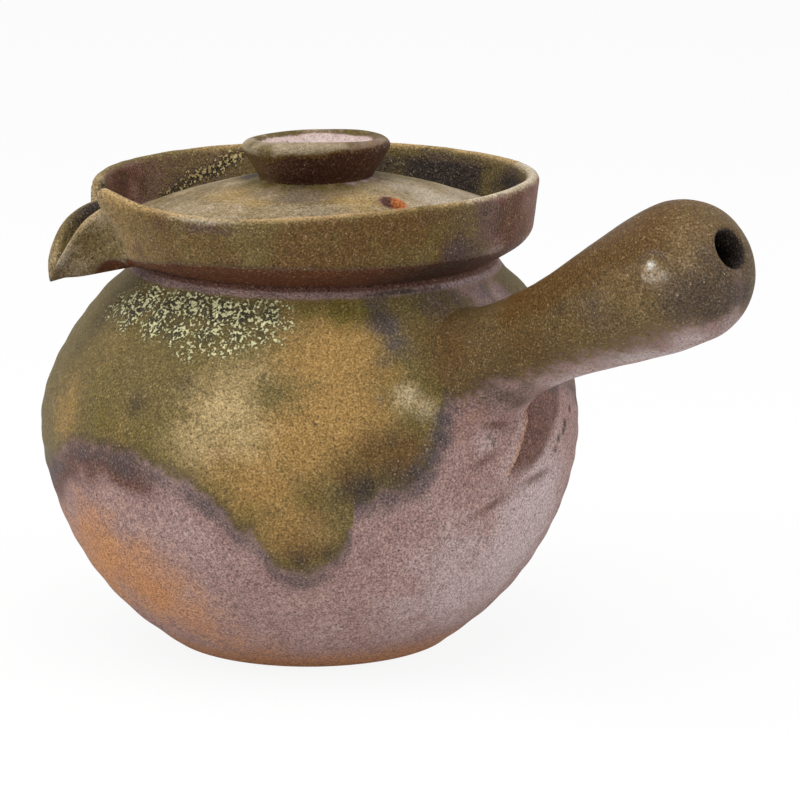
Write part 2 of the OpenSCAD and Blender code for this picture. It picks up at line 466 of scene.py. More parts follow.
class Graph:
    """The shader of one material, in Object coordinates."""

    def __init__(self, name: str) -> None:
        """Starts an empty material.

        Args:
            name: Name of the material.
        """
        self.material = bpy.data.materials.new(name)
        self.material.use_nodes = True
        self.tree = self.material.node_tree
        self.tree.nodes.clear()
        self.place = self.wire("ShaderNodeTexCoord", "Object")

    def node(
        self,
        kind: str,
        settings: dict[str, Any] | None = None,
        inputs: dict[Union[str, int], Any] | None = None,
    ) -> bpy.types.Node:
        """Adds a node.

        Args:
            kind: The node's type.
            settings: Properties of the node, set first.
            inputs: Values or links of its sockets, by name or place.

        Returns:
            The new node.
        """
        made = self.tree.nodes.new(kind)
        for key, value in (settings or {}).items():
            setattr(made, key, value)
        for key, value in (inputs or {}).items():
            if isinstance(value, Wire):
                self.tree.links.new(value.socket, made.inputs[key])
            else:
                made.inputs[key].default_value = value
        return made

    def wire(
        self,
        kind: str,
        output: Union[str, int],
        settings: dict[str, Any] | None = None,
        inputs: dict[Union[str, int], Any] | None = None,
    ) -> Wire:
        """Adds a node and takes one of its outputs, by name or place."""
        return Wire(self, self.node(kind, settings, inputs).outputs[output])

    def math(
        self, operation: str, first: Value, second: Value, settings: dict[str, Any] | None = None
    ) -> Wire:
        """Adds a Math node on two values."""
        chosen = {"operation": operation, **(settings or {})}
        return self.wire("ShaderNodeMath", 0, chosen, {0: first, 1: second})

    def mix(self, share: Value, first: Any, second: Any) -> Wire:
        """Mixes two colours by a share of the second."""
        return self.wire("ShaderNodeMix", 2, {"data_type": "RGBA"}, {0: share, 6: first, 7: second})

    def coat(self, under: Any, mark: Mark, colour: Screen, stray: Value) -> Wire:
        """Lays a screen colour over another where a mark, with its edge broken by stray, is strong."""
        return self.mix((self.mark(mark) + stray).fit(0.1, 0.9), under, paint(*colour))

    def scaled(self, colour: Wire, share: Wire) -> Wire:
        """A colour made lighter or darker."""
        inputs = {"Vector": colour, "Scale": share}
        return self.wire("ShaderNodeVectorMath", "Vector", {"operation": "SCALE"}, inputs)

    def mark(self, mark: Mark) -> Wire:
        """One of the kiln's marks on the piece."""
        return self.wire("ShaderNodeAttribute", "Fac", {"attribute_name": mark.value})

    def noise(self, size: float, detail: float = 2.0, roughness: float = 0.55) -> Wire:
        """Noise of a size in mm, from about 0.2 to 0.8."""
        inputs = {"Vector": self.place, "Scale": 1.0 / MM / size, "Detail": detail, "Roughness": roughness}
        return self.wire("ShaderNodeTexNoise", "Fac", None, inputs)

    def grains(self, size: float) -> Wire:
        """Distance to the nearest grain of a size in mm, 0 at its middle."""
        inputs = {"Vector": self.place, "Scale": 1.0 / MM / size}
        return self.wire("ShaderNodeTexVoronoi", "Distance", None, inputs)

    def finished(self, surface: Wire) -> bpy.types.Material:
        """Ends the shader with its surface and gives the material."""
        self.node("ShaderNodeOutputMaterial", None, {"Surface": surface})
        return self.material


def paint(red: int, green: int, blue: int) -> tuple[float, float, float, float]:
    """A screen colour, 0 to 255, as the linear colour that a shader takes.

    Args:
        red: Level of red.
        green: Level of green.
        blue: Level of blue.

    Returns:
        The linear levels, and an alpha of 1.
    """

    def linear(level: int) -> float:
        """One channel."""
        share = level / 255.0
        return share / 12.92 if share <= 0.04045 else ((share + 0.055) / 1.055) ** 2.4

    return (linear(red), linear(green), linear(blue), 1.0)


@dataclass(frozen=True)
class FiredClay:
    """Wood-fired stoneware: bare body, flashes, ash glaze, soot and crust, mixed by the kiln's marks.

    Speckle is how strongly the grit shows, dull the roughness of the bare body, shine its specular level, and
    relief and depth (in mm) are those of its tooth.
    """

    name: str
    body: Screen = (166, 138, 132)
    body_deep: Screen = (144, 113, 108)
    lilac_and_light: Screen = (182, 163, 162)
    flame: Screen = (184, 130, 86)
    iron_and_shade: Screen = (98, 66, 56)
    ash_green: Screen = (106, 91, 52)
    ash_gold: Screen = (153, 120, 68)
    ash_tan: Screen = (175, 151, 106)
    ash_moss: Screen = (98, 86, 34)
    ash_brown: Screen = (98, 71, 35)
    halo_and_shade: Screen = (82, 72, 72)
    soot_and_shade: Screen = (50, 42, 38)
    crust_pale: Screen = (190, 186, 142)
    crust_dark: Screen = (60, 56, 44)
    # Drop colour, also used for a painted highlight on the handle's blister
    drop: Screen = (200, 195, 180)
    sand: Screen = (208, 186, 148)
    fleck: Screen = (40, 29, 24)
    speckle: float = 2.4
    dull: float = 0.72
    shine: float = 0.16
    relief: float = 0.85
    depth: float = 0.8

    def material(self) -> bpy.types.Material:
        """Builds the material.

        Returns:
            The material.
        """
        graph = Graph(self.name)
        cloud = graph.noise(22.0, 3.0) - 0.5
        patch = graph.noise(6.0, 4.0, 0.6) - 0.5
        tooth = graph.noise(1.5, 3.0, 0.6) - 0.5
        grit = graph.noise(0.5, 1.0, 0.6) - 0.5
        lumps = graph.noise(1.0, 1.0) - 0.5
        pock = 1.0 - graph.grains(3.1).fit(0.05, 0.16)
        speck = 1.0 - graph.grains(1.6).fit(0.06, 0.17)
        broken = patch * 0.8 + tooth * 0.6

        blotch = cloud * 0.6 + patch * 0.4 + tooth * 0.3
        clay = graph.mix(blotch.fit(-0.22, 0.22), paint(*self.body_deep), paint(*self.body))
        clay = graph.coat(clay, Mark.PALE_AND_LIGHT, self.lilac_and_light, broken * 0.6)
        clay = graph.coat(clay, Mark.FLAME, self.flame, broken * 0.6)
        clay = graph.coat(clay, Mark.IRON_AND_SHADE, self.iron_and_shade, broken * 0.7)
        glaze = graph.coat(paint(*self.ash_green), Mark.GOLD, self.ash_gold, cloud * 0.4 + broken * 0.6)
        glaze = graph.coat(glaze, Mark.TAN, self.ash_tan, tooth * 0.5 + patch * 0.3)
        glaze = graph.coat(glaze, Mark.MOSS, self.ash_moss, tooth * 0.9 + patch * 0.6)
        glaze = graph.coat(glaze, Mark.IRON_AND_SHADE, self.ash_brown, broken * 0.7)
        ash = (graph.mark(Mark.ASH) + patch * 0.5 + tooth * 0.8 + grit * 1.3).fit(0.28, 0.72)
        colour = graph.mix(ash, clay, glaze)
        colour = graph.coat(colour, Mark.HALO, self.halo_and_shade, broken * 0.7)
        colour = graph.coat(colour, Mark.SOOT_AND_SHADE, self.soot_and_shade, broken * 0.6)
        crust = graph.mark(Mark.CRUST)
        colour = graph.coat(colour, Mark.CRUST, self.crust_dark, broken * 0.8 - 0.1)
        lump = (crust * 0.35 + lumps * 2.4 - 0.22).fit(0.0, 0.22) * crust.fit(0.08, 0.3)
        colour = graph.mix(lump, colour, paint(*self.crust_pale))
        colour = graph.coat(colour, Mark.DROP_AND_HIGHLIGHT, self.drop, tooth * 0.3)
        colour = graph.scaled(colour, 1.0 + grit * self.speckle + tooth * 0.5)
        colour = graph.mix((grit + tooth * 0.5).fit(0.05, 0.28) * 0.16, colour, paint(*self.sand))
        colour = graph.mix(speck * tooth.fit(-0.08, 0.1) * 0.55, colour, paint(*self.sand))
        colour = graph.mix(pock * patch.fit(-0.02, 0.1) * 0.7, colour, paint(*self.fleck))

        rough = self.dull - ash * 0.16 - graph.mark(Mark.IRON_AND_SHADE) * 0.16 + grit * 0.3
        height = grit * 0.6 + tooth * 0.8 - pock * 0.25 + lump * 0.8
        tooled = {"Height": height, "Strength": self.relief, "Distance": self.depth * MM}
        surface = {
            "Base Color": colour,
            "Roughness": rough.clamped(),
            "Normal": graph.wire("ShaderNodeBump", "Normal", None, tooled),
            "Specular IOR Level": self.shine,
        }
        return graph.finished(graph.wire("ShaderNodeBsdfPrincipled", "BSDF", None, surface))


LEAN = Lean()
TILT = Tilt()
CLAY = Grain(7)
FIRE = Grain(19)


@dataclass(frozen=True)
class Wobble:
    """How uneven the hand left a wall: height and size of its broad swells and of its small lumps, in mm."""

    broad: float
    broad_size: float
    small: float
    small_size: float

    def at(self, points: np.ndarray) -> np.ndarray:
        """How far the wall stands out at each place."""
        lumps = self.small * CLAY.at(points, self.small_size, 2)
        return self.broad * CLAY.at(points, self.broad_size) + lumps


@dataclass
class ClayPiece:
    """A piece of the pot: what it stands for in the solids and what finish it has."""

    name: str
    ride: str
    nodes: tuple[str, ...]
    slot: str
    finish: FiredClay

    def place(self, azimuth: float, reach: float) -> np.ndarray:
        """The point of the piece's outside that a spot's two coordinates name."""
        raise NotImplementedError

    def away(self, points: np.ndarray, spot: Spot) -> np.ndarray:
        """Distance of each point from the middle of a spot."""
        return apart(points, self.place(spot.azimuth, spot.reach))

    def spots(
        self, points: np.ndarray, spots: Sequence[Spot], stray: np.ndarray, ragged: float = 0.25
    ) -> np.ndarray:
        """Soft spots with ragged edges.

        Args:
            points: Places in mm.
            spots: The spots.
            stray: Noise at the points.
            ragged: How far the edges stray, as a share of a spot's radius.

        Returns:
            The strongest spot's value at each point.
        """
        total = np.zeros(len(points))
        for spot in spots:
            away = self.away(points, spot) * (1.0 + ragged * stray)
            total = np.maximum(total, spot.strength * bump(away, spot.radius))
        return total

    def fired(self, points: np.ndarray, fire: Fire, stray: np.ndarray, ragged: float = 0.25) -> Marks:
        """Every mark of the kiln from its spots, with a blank one where a fire has none."""
        return {mark: self.spots(points, fire.get(mark, ()), stray, ragged) for mark in Mark}

    def settle(self, made: bpy.types.Object) -> bpy.types.Object:
        """Gives the object its finish and its place in the assembly.

        Args:
            made: The piece's object.

        Returns:
            The same object.
        """
        made.data.materials.append(self.finish.material())
        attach(made, self.ride)
        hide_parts(*self.nodes)
        LOG.info("%s: %d faces, stands for %s", made.name, len(made.data.polygons), ", ".join(self.nodes))
        return made


BELLY_FIRE: Fire = {
    Mark.GOLD: (
        Spot(-43, 86, 11, 0.95), Spot(-42, 74, 11, 0.95), Spot(-50, 66, 10, 0.9), Spot(-58, 57, 9, 0.9),
        Spot(-52, 45, 8, 0.8), Spot(-64, 60, 7, 0.8), Spot(-31, 81, 4.5, 0.75), Spot(-92, 66, 7, 0.35),
        Spot(-112, 66, 8, 0.55), Spot(-106, 80, 8, 0.25), Spot(150, 80, 22, 0.7), Spot(80, 76, 18, 0.6),
        Spot(-160, 74, 16, 0.6),
    ),
    Mark.TAN: (
        Spot(-67, 74, 8, 0.75), Spot(-63, 82, 6, 0.5), Spot(-72, 66, 7, 0.65), Spot(-62, 68, 7, 0.6),
        Spot(-118, 70, 6, 0.2), Spot(-26.5, 76, 4, 0.75), Spot(-23.5, 74, 3.5, 0.65), Spot(-47, 45, 4, 0.35),
        Spot(170, 82, 9, 0.5),
    ),
    Mark.MOSS: (
        Spot(-96, 66, 7, 0.55), Spot(-86, 64, 6, 0.5), Spot(-78, 62, 5, 0.4), Spot(-100, 72, 5, 0.4),
        Spot(-50, 96, 3.5, 0.6), Spot(-40, 95.5, 4, 0.85), Spot(-33, 95.5, 3.5, 0.9), Spot(-66, 88, 4, 0.4),
        Spot(-76, 88, 5, 0.45), Spot(-25, 71, 4, 0.5), Spot(-22, 78, 4, 0.5), Spot(-60, 49, 3.5, 0.4),
        Spot(-48, 54, 4, 0.4), Spot(-30, 80, 4, 0.4), Spot(120, 72, 10, 0.6),
    ),
    Mark.SOOT_AND_SHADE: (
        Spot(-37, 55.4, 4, 0.72), Spot(-41, 54.4, 3.4, 0.5), Spot(-32, 57, 4.4, 0.5),
        Spot(-88, 72.3, 3, 0.55), Spot(-77, 79, 2.5, 0.4), Spot(26, 63.7, 1, 0.9), Spot(21, 61.4, 1.1, 0.9),
        Spot(19.5, 59.7, 1, 0.8), Spot(16.5, 58.4, 1, 0.8), Spot(15, 56.1, 1, 0.7), Spot(-8, 64.6, 0.9, 0.6),
        Spot(-7, 63, 0.9, 0.6), Spot(-29, 93.5, 3, 0.45), Spot(-50, 58, 2.2, 0.4), Spot(-65, 61, 2, 0.35),
        Spot(-46, 61.5, 2, 0.3), Spot(-31, 67, 2.2, 0.4), Spot(-44, 37.5, 2.5, 0.5), Spot(-50, 36, 3, 0.5),
        Spot(-118, 88, 6, 0.4), Spot(-120, 80, 5, 0.3), Spot(-104, 92, 3, 0.8), Spot(-85, 94.5, 3, 0.5),
        Spot(100, 70, 7, 0.6), Spot(190, 66, 6, 0.5),
    ),
    Mark.HALO: (
        Spot(-30, 97, 3, 0.6), Spot(-28.5, 92, 3.6, 0.8), Spot(-27, 88, 3.4, 0.7), Spot(-31, 84.5, 2.2, 0.45),
        Spot(-33, 76, 1.8, 0.4), Spot(-12, 96, 5, 0.55), Spot(-3, 96, 4, 0.5), Spot(5, 93, 4, 0.35),
        Spot(-28, 55, 4, 0.5), Spot(-22, 61.4, 2.8, 0.8), Spot(10, 95, 6, 0.5), Spot(20, 93, 6, 0.45),
        Spot(-18.6, 70.2, 2.4, 0.8), Spot(-20, 65.6, 2.6, 0.85), Spot(-24.5, 57.7, 3, 0.7),
        Spot(-15.6, 72.2, 2, 0.6), Spot(-11, 74.2, 1.8, 0.5), Spot(-88, 59.8, 2, 0.7),
        Spot(-104, 57.5, 2.4, 0.6),
    ),
    Mark.FLAME: (
        Spot(-103, 29.5, 12, 0.8), Spot(-93, 24, 13, 0.75), Spot(-82, 16, 10, 0.6), Spot(-112, 24, 14, 0.7),
        Spot(-76, 9, 8, 0.5), Spot(-64, 5, 7, 0.5), Spot(-13, 69.5, 5, 0.32), Spot(-50, 27, 6, 0.2),
        Spot(150, 24, 20, 0.7), Spot(190, 18, 16, 0.6),
    ),
    Mark.IRON_AND_SHADE: (
        Spot(-35, 63, 6, 0.75), Spot(-29, 62, 6, 0.8), Spot(-40, 59.5, 5, 0.6), Spot(-46, 55, 4, 0.4),
        Spot(-23, 64, 4, 0.5), Spot(-12, 92, 6, 0.6), Spot(-20, 90, 5, 0.5), Spot(-14, 84, 7, 0.7),
        Spot(-6, 82, 7, 0.8), Spot(-9, 71, 5, 0.38), Spot(-15, 69, 4.5, 0.42), Spot(-3, 67, 4, 0.35),
        Spot(-50, 40, 6, 0.55), Spot(-47, 47, 5, 0.4), Spot(-15, 55, 3, 0.3), Spot(60, 44, 12, 0.5),
    ),
    # The broad pale spots low on the right are lilac clay brightened as painted light from the right
    Mark.PALE_AND_LIGHT: (
        Spot(9, 43, 13, 0.9), Spot(6, 30, 13, 0.9), Spot(-6, 22, 12, 0.75), Spot(-14, 33, 11, 0.6),
        Spot(-22, 19, 10, 0.5), Spot(-9, 63.6, 3.6, 0.5), Spot(-4, 54, 3, 0.4), Spot(16, 50, 6, 0.6),
        Spot(-43, 14, 8, 0.3), Spot(8, 95, 5, 0.45), Spot(16, 94, 5, 0.45), Spot(-74, 40, 9, 0.3),
    ),
    Mark.CRUST: (
        Spot(-116, 91.5, 3, 0.6), Spot(-109, 92.8, 3.5, 0.85), Spot(-102, 94.5, 3.5), Spot(-93, 94, 3.6),
        Spot(-84, 94.6, 3.6), Spot(-75, 94.4, 3.8), Spot(-68, 94.4, 3.6), Spot(-61, 94.4, 3, 0.85),
        Spot(-56, 93, 2.4, 0.5), Spot(-104, 90, 3, 0.7), Spot(-94, 90.4, 3.4, 0.85), Spot(-85, 90, 3.4, 0.8),
        Spot(-76, 89.6, 3.4, 0.75), Spot(-68, 89.8, 3, 0.7), Spot(-62, 90.6, 2.6, 0.65),
        Spot(-57, 89, 1.6, 0.4), Spot(-80, 86.5, 3, 0.4), Spot(-70, 86.5, 2.6, 0.4),
    ),
    Mark.DROP_AND_HIGHLIGHT: (Spot(-26.5, 76.5, 4, 0.32), Spot(-23.5, 73, 3.5, 0.3)),
}
NECK_FIRE: Ring = {
    Mark.PALE_AND_LIGHT: (
        (-120, 0.05), (-102, 0.1), (-90, 0.36), (-42, 0.42), (-35, 0.05), (-18, 0), (-10, 0.5), (2, 0.7),
        (25, 0.5), (180, 0.3),
    ),
    Mark.HALO: (
        (-120, 0.5), (-102, 0.5), (-90, 0.3), (-42, 0.3), (-34, 0.5), (-18, 0.5), (-8, 0.4), (25, 0.4),
        (180, 0.3),
    ),
    # Painted shadow of the collar on the brow, darkest between -33 and -15
    Mark.SOOT_AND_SHADE: ((-120, 0.2), (-60, 0), (-40, 0), (-33, 0.6), (-15, 0.6), (-7, 0.1), (20, 0), (180, 0.1)),
    Mark.IRON_AND_SHADE: ((-120, 0.4), (-60, 0.45), (-30, 0.4), (0, 0.2), (30, 0.2), (180, 0.4)),
}
BELLY_BARE = (Spot(8, 95, 4.5, 0.9), Spot(17, 94, 5, 0.9), Spot(1, 97, 3, 0.7))
BELLY_DENTS = (Spot(-14, 65, 5, -0.5), Spot(-51, 36, 1.2, -0.5), Spot(-48, 37.5, 1.1, -0.4))


@dataclass
class Belly(ClayPiece):
    """The thrown belly: foot, bowl, shoulder and neck in one wall."""

    wide: float = field(default_factory=lambda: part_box("pot_bowl")[1].x / MM)
    wide_z: float = field(default_factory=lambda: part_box("pot_bowl")[1].z / MM)
    top_z: float = field(default_factory=lambda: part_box("pot_shoulder")[1].z / MM)
    foot: float = 34.0
    heel: float = 1.8
    heel_h: float = 5.0
    slack: float = 0.9
    shoulder: float = 48.5
    shoulder_z: float = 97.0
    tuck: Swell = Swell(84.0, 0.7, 8.0)
    brow: float = 47.3
    brow_z: float = 99.4
    brow_over: float = 0.2
    brow_out: float = 5.6
    brow_h: float = 6.7
    brow_curve: float = 1.35
    brow_blend_z: float = 88.0
    brow_blend_h: float = 6.0
    neck: float = 46.4
    mouth: float = 43.0
    wall: float = 5.0
    floor: float = 6.0
    foot_edge: float = 0.6
    wobble: Wobble = Wobble(0.4, 45.0, 0.08, 9.0)
    throw_h: float = 0.09
    throw_gap: float = 6.5
    glaze: float = 0.3
    crust: float = 1.2
    patch: float = 7.0
    row: float = 0.92
    inner_row: float = 5.0
    steps: int = 440

    ash_line: Line = (
        (-130, 48), (-123, 49.3), (-116, 52.5), (-112, 55.5), (-106, 59), (-96, 61), (-89, 60.5), (-83, 59.5),
        (-77, 57.5), (-71, 54.3), (-67, 50.4), (-64, 46.5), (-60, 43.5), (-57.5, 39), (-56, 35), (-52, 33),
        (-48, 33.2), (-45, 34.8), (-41, 38), (-39.4, 42), (-38.6, 51), (-34, 53), (-30, 54), (-26, 56.5),
        (-23, 58.5), (-21, 63), (-20, 68), (-18, 74), (-11, 75.5), (-3, 76.5), (12, 79), (40, 66), (60, 58),
        (85, 62), (110, 52), (130, 46), (150, 56), (180, 60), (205, 55), (224, 52),
    )
    scorched: tuple[float, float, float, float] = (-172.0, -74.0, 36.0, 14.0)
    degree: float = 1.2
    fold_z: tuple[float, float, float, float] = (50.0, 77.0, 6.0, 6.0)
    fold: Line = ((-4.0, 52.7), (-0.9, 57.2), (1.6, 61.7), (3.9, 66.0), (4.6, 70.0))
    fold_rise: float = 1.4
    fold_sink: float = 1.8
    fold_w: float = 7.0
    fold_edge: float = 0.35
    stroke_w: float = 1.2
    stroke_sink: float = 0.5
    strokes: tuple[Stroke, ...] = (
        ((-15.0, 56.3), (-3.6, 61.5)), ((-16.0, 42.2), (3.0, 50.8)), ((-2.0, 49.6), (16.0, 51.6)),
        ((-8.0, 74.5), (2.5, 70.5)), ((-12.0, 67.5), (0.5, 66.5)),
    )

    @property
    def drop(self) -> float:
        """Half height of the bowl's ellipse."""
        return self.wide_z / math.sqrt(1.0 - (self.foot / self.wide) ** 2)

    @property
    def rise(self) -> float:
        """Half height of the shoulder's ellipse."""
        return (self.shoulder_z - self.wide_z) / math.sqrt(1.0 - (self.shoulder / self.wide) ** 2)

    def radius(self, height: np.ndarray) -> np.ndarray:
        """Outer radius at a height.

        Args:
            height: Heights above the table, in mm.

        Returns:
            The radius at each height, in mm.
        """
        low = np.minimum(height, self.wide_z)
        bowl = self.wide * np.sqrt(np.maximum(0.0, 1.0 - ((self.wide_z - low) / self.drop) ** 2))
        bowl += self.heel * np.exp(-low / self.heel_h) - self.slack * np.sin(math.pi * low / self.wide_z)
        high = np.maximum(height, self.wide_z)
        dome = self.wide * np.sqrt(np.maximum(0.0, 1.0 - ((high - self.wide_z) / self.rise) ** 2))
        dome -= self.tuck.at(high)
        below = np.maximum(0.0, self.brow_z + self.brow_over - high)
        brow = self.brow + self.brow_out * (below / self.brow_h) ** self.brow_curve
        share = ease((high - self.brow_blend_z) / self.brow_blend_h)
        return np.where(height < self.wide_z, bowl, (1.0 - share) * dome + share * brow)

    def outside(self) -> np.ndarray:
        """Outline from the middle of the foot to the top of the neck.

        Returns:
            Radius and height of each row, in mm.
        """
        height = np.linspace(self.foot_edge, self.brow_z, 300)
        wall = np.column_stack([self.radius(height), height])
        neck = bend(wall[-1], (self.neck, self.brow_z + 0.3), (self.neck, self.brow_z + 1.0), 6)
        corners = [[[self.foot, 0.0]], wall, neck[1:], [[self.neck, self.top_z]]]
        under = np.linspace((0.0, 0.0), (self.foot, 0.0), 7)[:-1]
        return np.vstack([under, even_rows(np.vstack(corners), self.row)])

    def inside(self) -> np.ndarray:
        """Outline from the mouth down to the middle of the floor.

        Returns:
            Radius and height of each row, in mm.
        """
        wide, drop, rise = (size - self.wall for size in (self.wide, self.drop, self.rise))
        top = self.wide_z + rise * math.sqrt(1.0 - (self.mouth / wide) ** 2)
        high, low = np.linspace(top, self.wide_z, 40), np.linspace(self.wide_z, self.floor, 40)
        height = np.concatenate([high, low[1:]])
        half = np.where(height > self.wide_z, rise, drop)
        wall = np.column_stack([wide * np.sqrt(1.0 - ((height - self.wide_z) / half) ** 2), height])
        return even_rows(np.vstack([[[self.mouth, self.top_z]], wall, [[0.0, self.floor]]]), self.inner_row)

    def place(self, azimuth: float, reach: float) -> np.ndarray:
        """The point of the wall at an azimuth and a height."""
        out = float(self.radius(np.array([reach]))[0])
        return np.array([*(out * compass(azimuth)), reach])

    def marks(self, points: np.ndarray) -> Marks:
        """What the kiln left on the wall at these places, with painted shade under the collar and past the
        smear's fold and painted light low on the right.

        Args:
            points: Places on the wall, in mm.

        Returns:
            The strength of each mark at each place.
        """
        azimuth = azimuths(points)
        height = points[:, 2]
        stray = FIRE.at(points, self.patch, 3)
        marks = self.fired(points, BELLY_FIRE, stray)
        # How far above the ash line a place lies; the line climbs on the root
        line = round_ring(azimuth, self.ash_line)
        line += 0.3 * np.maximum(0.0, from_axis(points) - self.radius(height) - 2.0)
        above = height - line + 1.1 * FIRE.at(points, 11.0) + 1.3 * FIRE.at(points, 4.0, 3)
        left = window(azimuth, *self.scorched)
        # The brow under the neck and the groove above it
        crown = ease((height - self.brow_z + 1.7) / 0.8)
        groove = ease((height - self.brow_z + 0.2) / 0.8)
        bare = self.spots(points, BELLY_BARE, stray)
        marks[Mark.ASH] = ease(0.5 + above / 8.0) * (1.0 - bare) * (1.0 - crown)
        # Grey edge and brown scorch below the ash, and the hollow past the smear's fold, where the iron
        # colour on maroon clay is partly painted shade under the handle
        edge = bump(above + 2.6, 3.0) * (0.58 + 0.2 * stray)
        scorch = left * bump(above + 4.6, 4.2) * (0.95 + 0.3 * stray)
        past, reach = self.past_fold(azimuth, height)
        hollow = reach * ease(past / 1.6) * (1.0 - ease((past - 12.0 - 0.6 * (height - 60.0)) / 6.0))
        marks[Mark.HALO] = np.maximum(marks[Mark.HALO], edge) * (1.0 - groove)
        marks[Mark.SOOT_AND_SHADE] = np.maximum(marks[Mark.SOOT_AND_SHADE], 0.38 * bump(above - 1.2, 1.6)) * (1.0 - 0.6 * crown)
        drags = [0.65 * self.stroked(azimuth, height, stroke) for stroke in self.strokes]
        # The hollow's share of iron is painted shade under the handle on the maroon clay
        strengthen(marks, Mark.IRON_AND_SHADE, groove, scorch, 0.7 * hollow, *drags)
        strengthen(marks, Mark.FLAME, 0.75 * bump(height, 5.0), 0.48 * reach * bump(past + 0.9, 1.3))
        marks[Mark.PALE_AND_LIGHT] = np.maximum(marks[Mark.PALE_AND_LIGHT], 0.4 * reach * bump(past + 3.4, 1.7)) * (1.0 - groove)
        marks[Mark.CRUST] = marks[Mark.CRUST] * (1.0 - crown)
        for mark, ring in NECK_FIRE.items():
            strengthen(marks, mark, round_ring(azimuth + 5.0 * stray, ring) * crown * (1.0 - groove))
        return marks

    def past_fold(self, azimuth: np.ndarray, height: np.ndarray) -> tuple[np.ndarray, np.ndarray]:
        """How far each place lies past the smear's edge, in mm, and the share of the edge at its height.

        Args:
            azimuth: Azimuth of each place, in degrees.
            height: Height of each place, in mm.

        Returns:
            Both measures for each place.
        """
        ridge_azimuth, ridge_z = np.array(self.fold).T
        past = self.degree * (azimuth - np.interp(height, ridge_z, ridge_azimuth))
        return past, window(height, *self.fold_z)

    def folded(self, azimuth: np.ndarray, height: np.ndarray) -> np.ndarray:
        """The step where the smeared clay ends: raised on the lip's side, hollow on the other.

        Args:
            azimuth: Azimuth of each place, in degrees.
            height: Height of each place, in mm.

        Returns:
            The distance at each place, in mm.
        """
        past, reach = self.past_fold(azimuth, height)
        side = 1.0 / (1.0 + np.exp(np.clip(past / self.fold_edge, -40.0, 40.0)))
        step = self.fold_rise * side - self.fold_sink * (1.0 - side)
        return reach * step * np.exp(-np.abs(past) / self.fold_w)

    def stroked(self, azimuth: np.ndarray, height: np.ndarray, stroke: Stroke) -> np.ndarray:
        """How strongly a finger's stroke shows at each place, from 0 to 1.

        Args:
            azimuth: Azimuth of each place, in degrees.
            height: Height of each place, in mm.
            stroke: Both ends of the stroke.

        Returns:
            The strength at each place.
        """
        flat = np.column_stack([self.degree * azimuth, height])
        first, last = (np.array(end) * (self.degree, 1.0) for end in stroke)
        span = last - first
        share = np.clip((flat - first) @ span / (span @ span), 0.0, 1.0)
        away = apart(flat, first + share[:, None] * span)
        return bump(away, self.stroke_w) * np.sin(math.pi * np.clip(share, 0.04, 0.96))

    def relief(self, points: np.ndarray, marks: Marks) -> np.ndarray:
        """How far the wall stands out at each place: wobble, throwing lines, glaze, crust and smear.

        Args:
            points: Places on the wall, in mm.
            marks: What the kiln left there.

        Returns:
            The distance at each place, in mm.
        """
        azimuth = azimuths(points)
        height = points[:, 2]
        stand = self.wobble.at(points)
        stand += self.throw_h * np.sin(math.tau * (height + 2.0 * CLAY.at(points, 40.0)) / self.throw_gap)
        stand += self.glaze * marks[Mark.ASH] * (0.7 + 0.4 * FIRE.at(points, 4.0, 2))
        lump = np.maximum(0.0, FIRE.at(points, 2.4, 2) + 0.1)
        stand += ease((marks[Mark.CRUST] - 0.2) / 0.4) * (self.crust * lump - 0.2)
        stand += self.folded(azimuth, height)
        for stroke in self.strokes:
            stand -= self.stroke_sink * self.stroked(azimuth, height, stroke)
        for spot in BELLY_DENTS:
            stand += spot.strength * bump(self.away(points, spot), spot.radius)
        return stand * (1.0 - ease((height - self.brow_z + 2.4) / 2.4))

    def build(self) -> bpy.types.Object:
        """Throws the belly and fires it.

        Returns:
            The belly's object.
        """
        outside = self.outside()
        form = Thrown(np.vstack([outside, self.inside()]), self.steps)
        bare = form.row < len(outside)
        standing = ease(form.points[:, 2] / 2.5)
        marks = self.marks(form.points)
        relief = np.where(bare, self.relief(form.points, marks) * standing, 0.0)
        form.points = LEAN.shifted(form.points + relief[:, None] * form.outward())
        return self.settle(form.piece(self.name, marks))


COLLAR_OUTSIDE: Ring = {
    Mark.ASH: ((-20, 1), (-9, 0.8), (2, 0.25), (28, 0.25), (60, 0.9), (180, 0.9)),
    Mark.GOLD: ((-125, 0.2), (-112, 0.3), (-102, 0.6), (-86, 0.35), (-60, 0.1), (180, 0.2)),
    Mark.IRON_AND_SHADE: (
        (-125, 0.1), (-104, 0.15), (-86, 0.5), (-30, 0.7), (-17, 0.8), (-8, 0.45), (2, 0.5), (14, 0.9),
        (26, 0.7), (34, 0.3), (70, 0.4), (180, 0.4),
    ),
    Mark.HALO: (
        (-125, 0.35), (-110, 0.3), (-100, 0.35), (-80, 0.15), (-22, 0.1), (-9, 0.75), (0, 0.65), (9, 0.3),
        (16, 0.1), (40, 0.3),
    ),
    Mark.TAN: (
        (-125, 0.4), (-116, 0.35), (-108, 0.5), (-100, 0.35), (-84, 0.1), (-30, 0.05), (0, 0), (60, 0.1),
        (180, 0.2),
    ),
    Mark.MOSS: ((-125, 0.2), (-95, 0.3), (-80, 0.15), (-40, 0.2), (-19, 0.6), (-10, 0.2), (0, 0), (60, 0.3)),
    Mark.PALE_AND_LIGHT: ((-20, 0), (4, 0.15), (20, 0.3), (30, 0.4), (40, 0)),
    Mark.DROP_AND_HIGHLIGHT: ((-120, 0.2), (-113, 0.3), (-108, 0.28), (-103, 0.1), (-96, 0), (180, 0)),
}
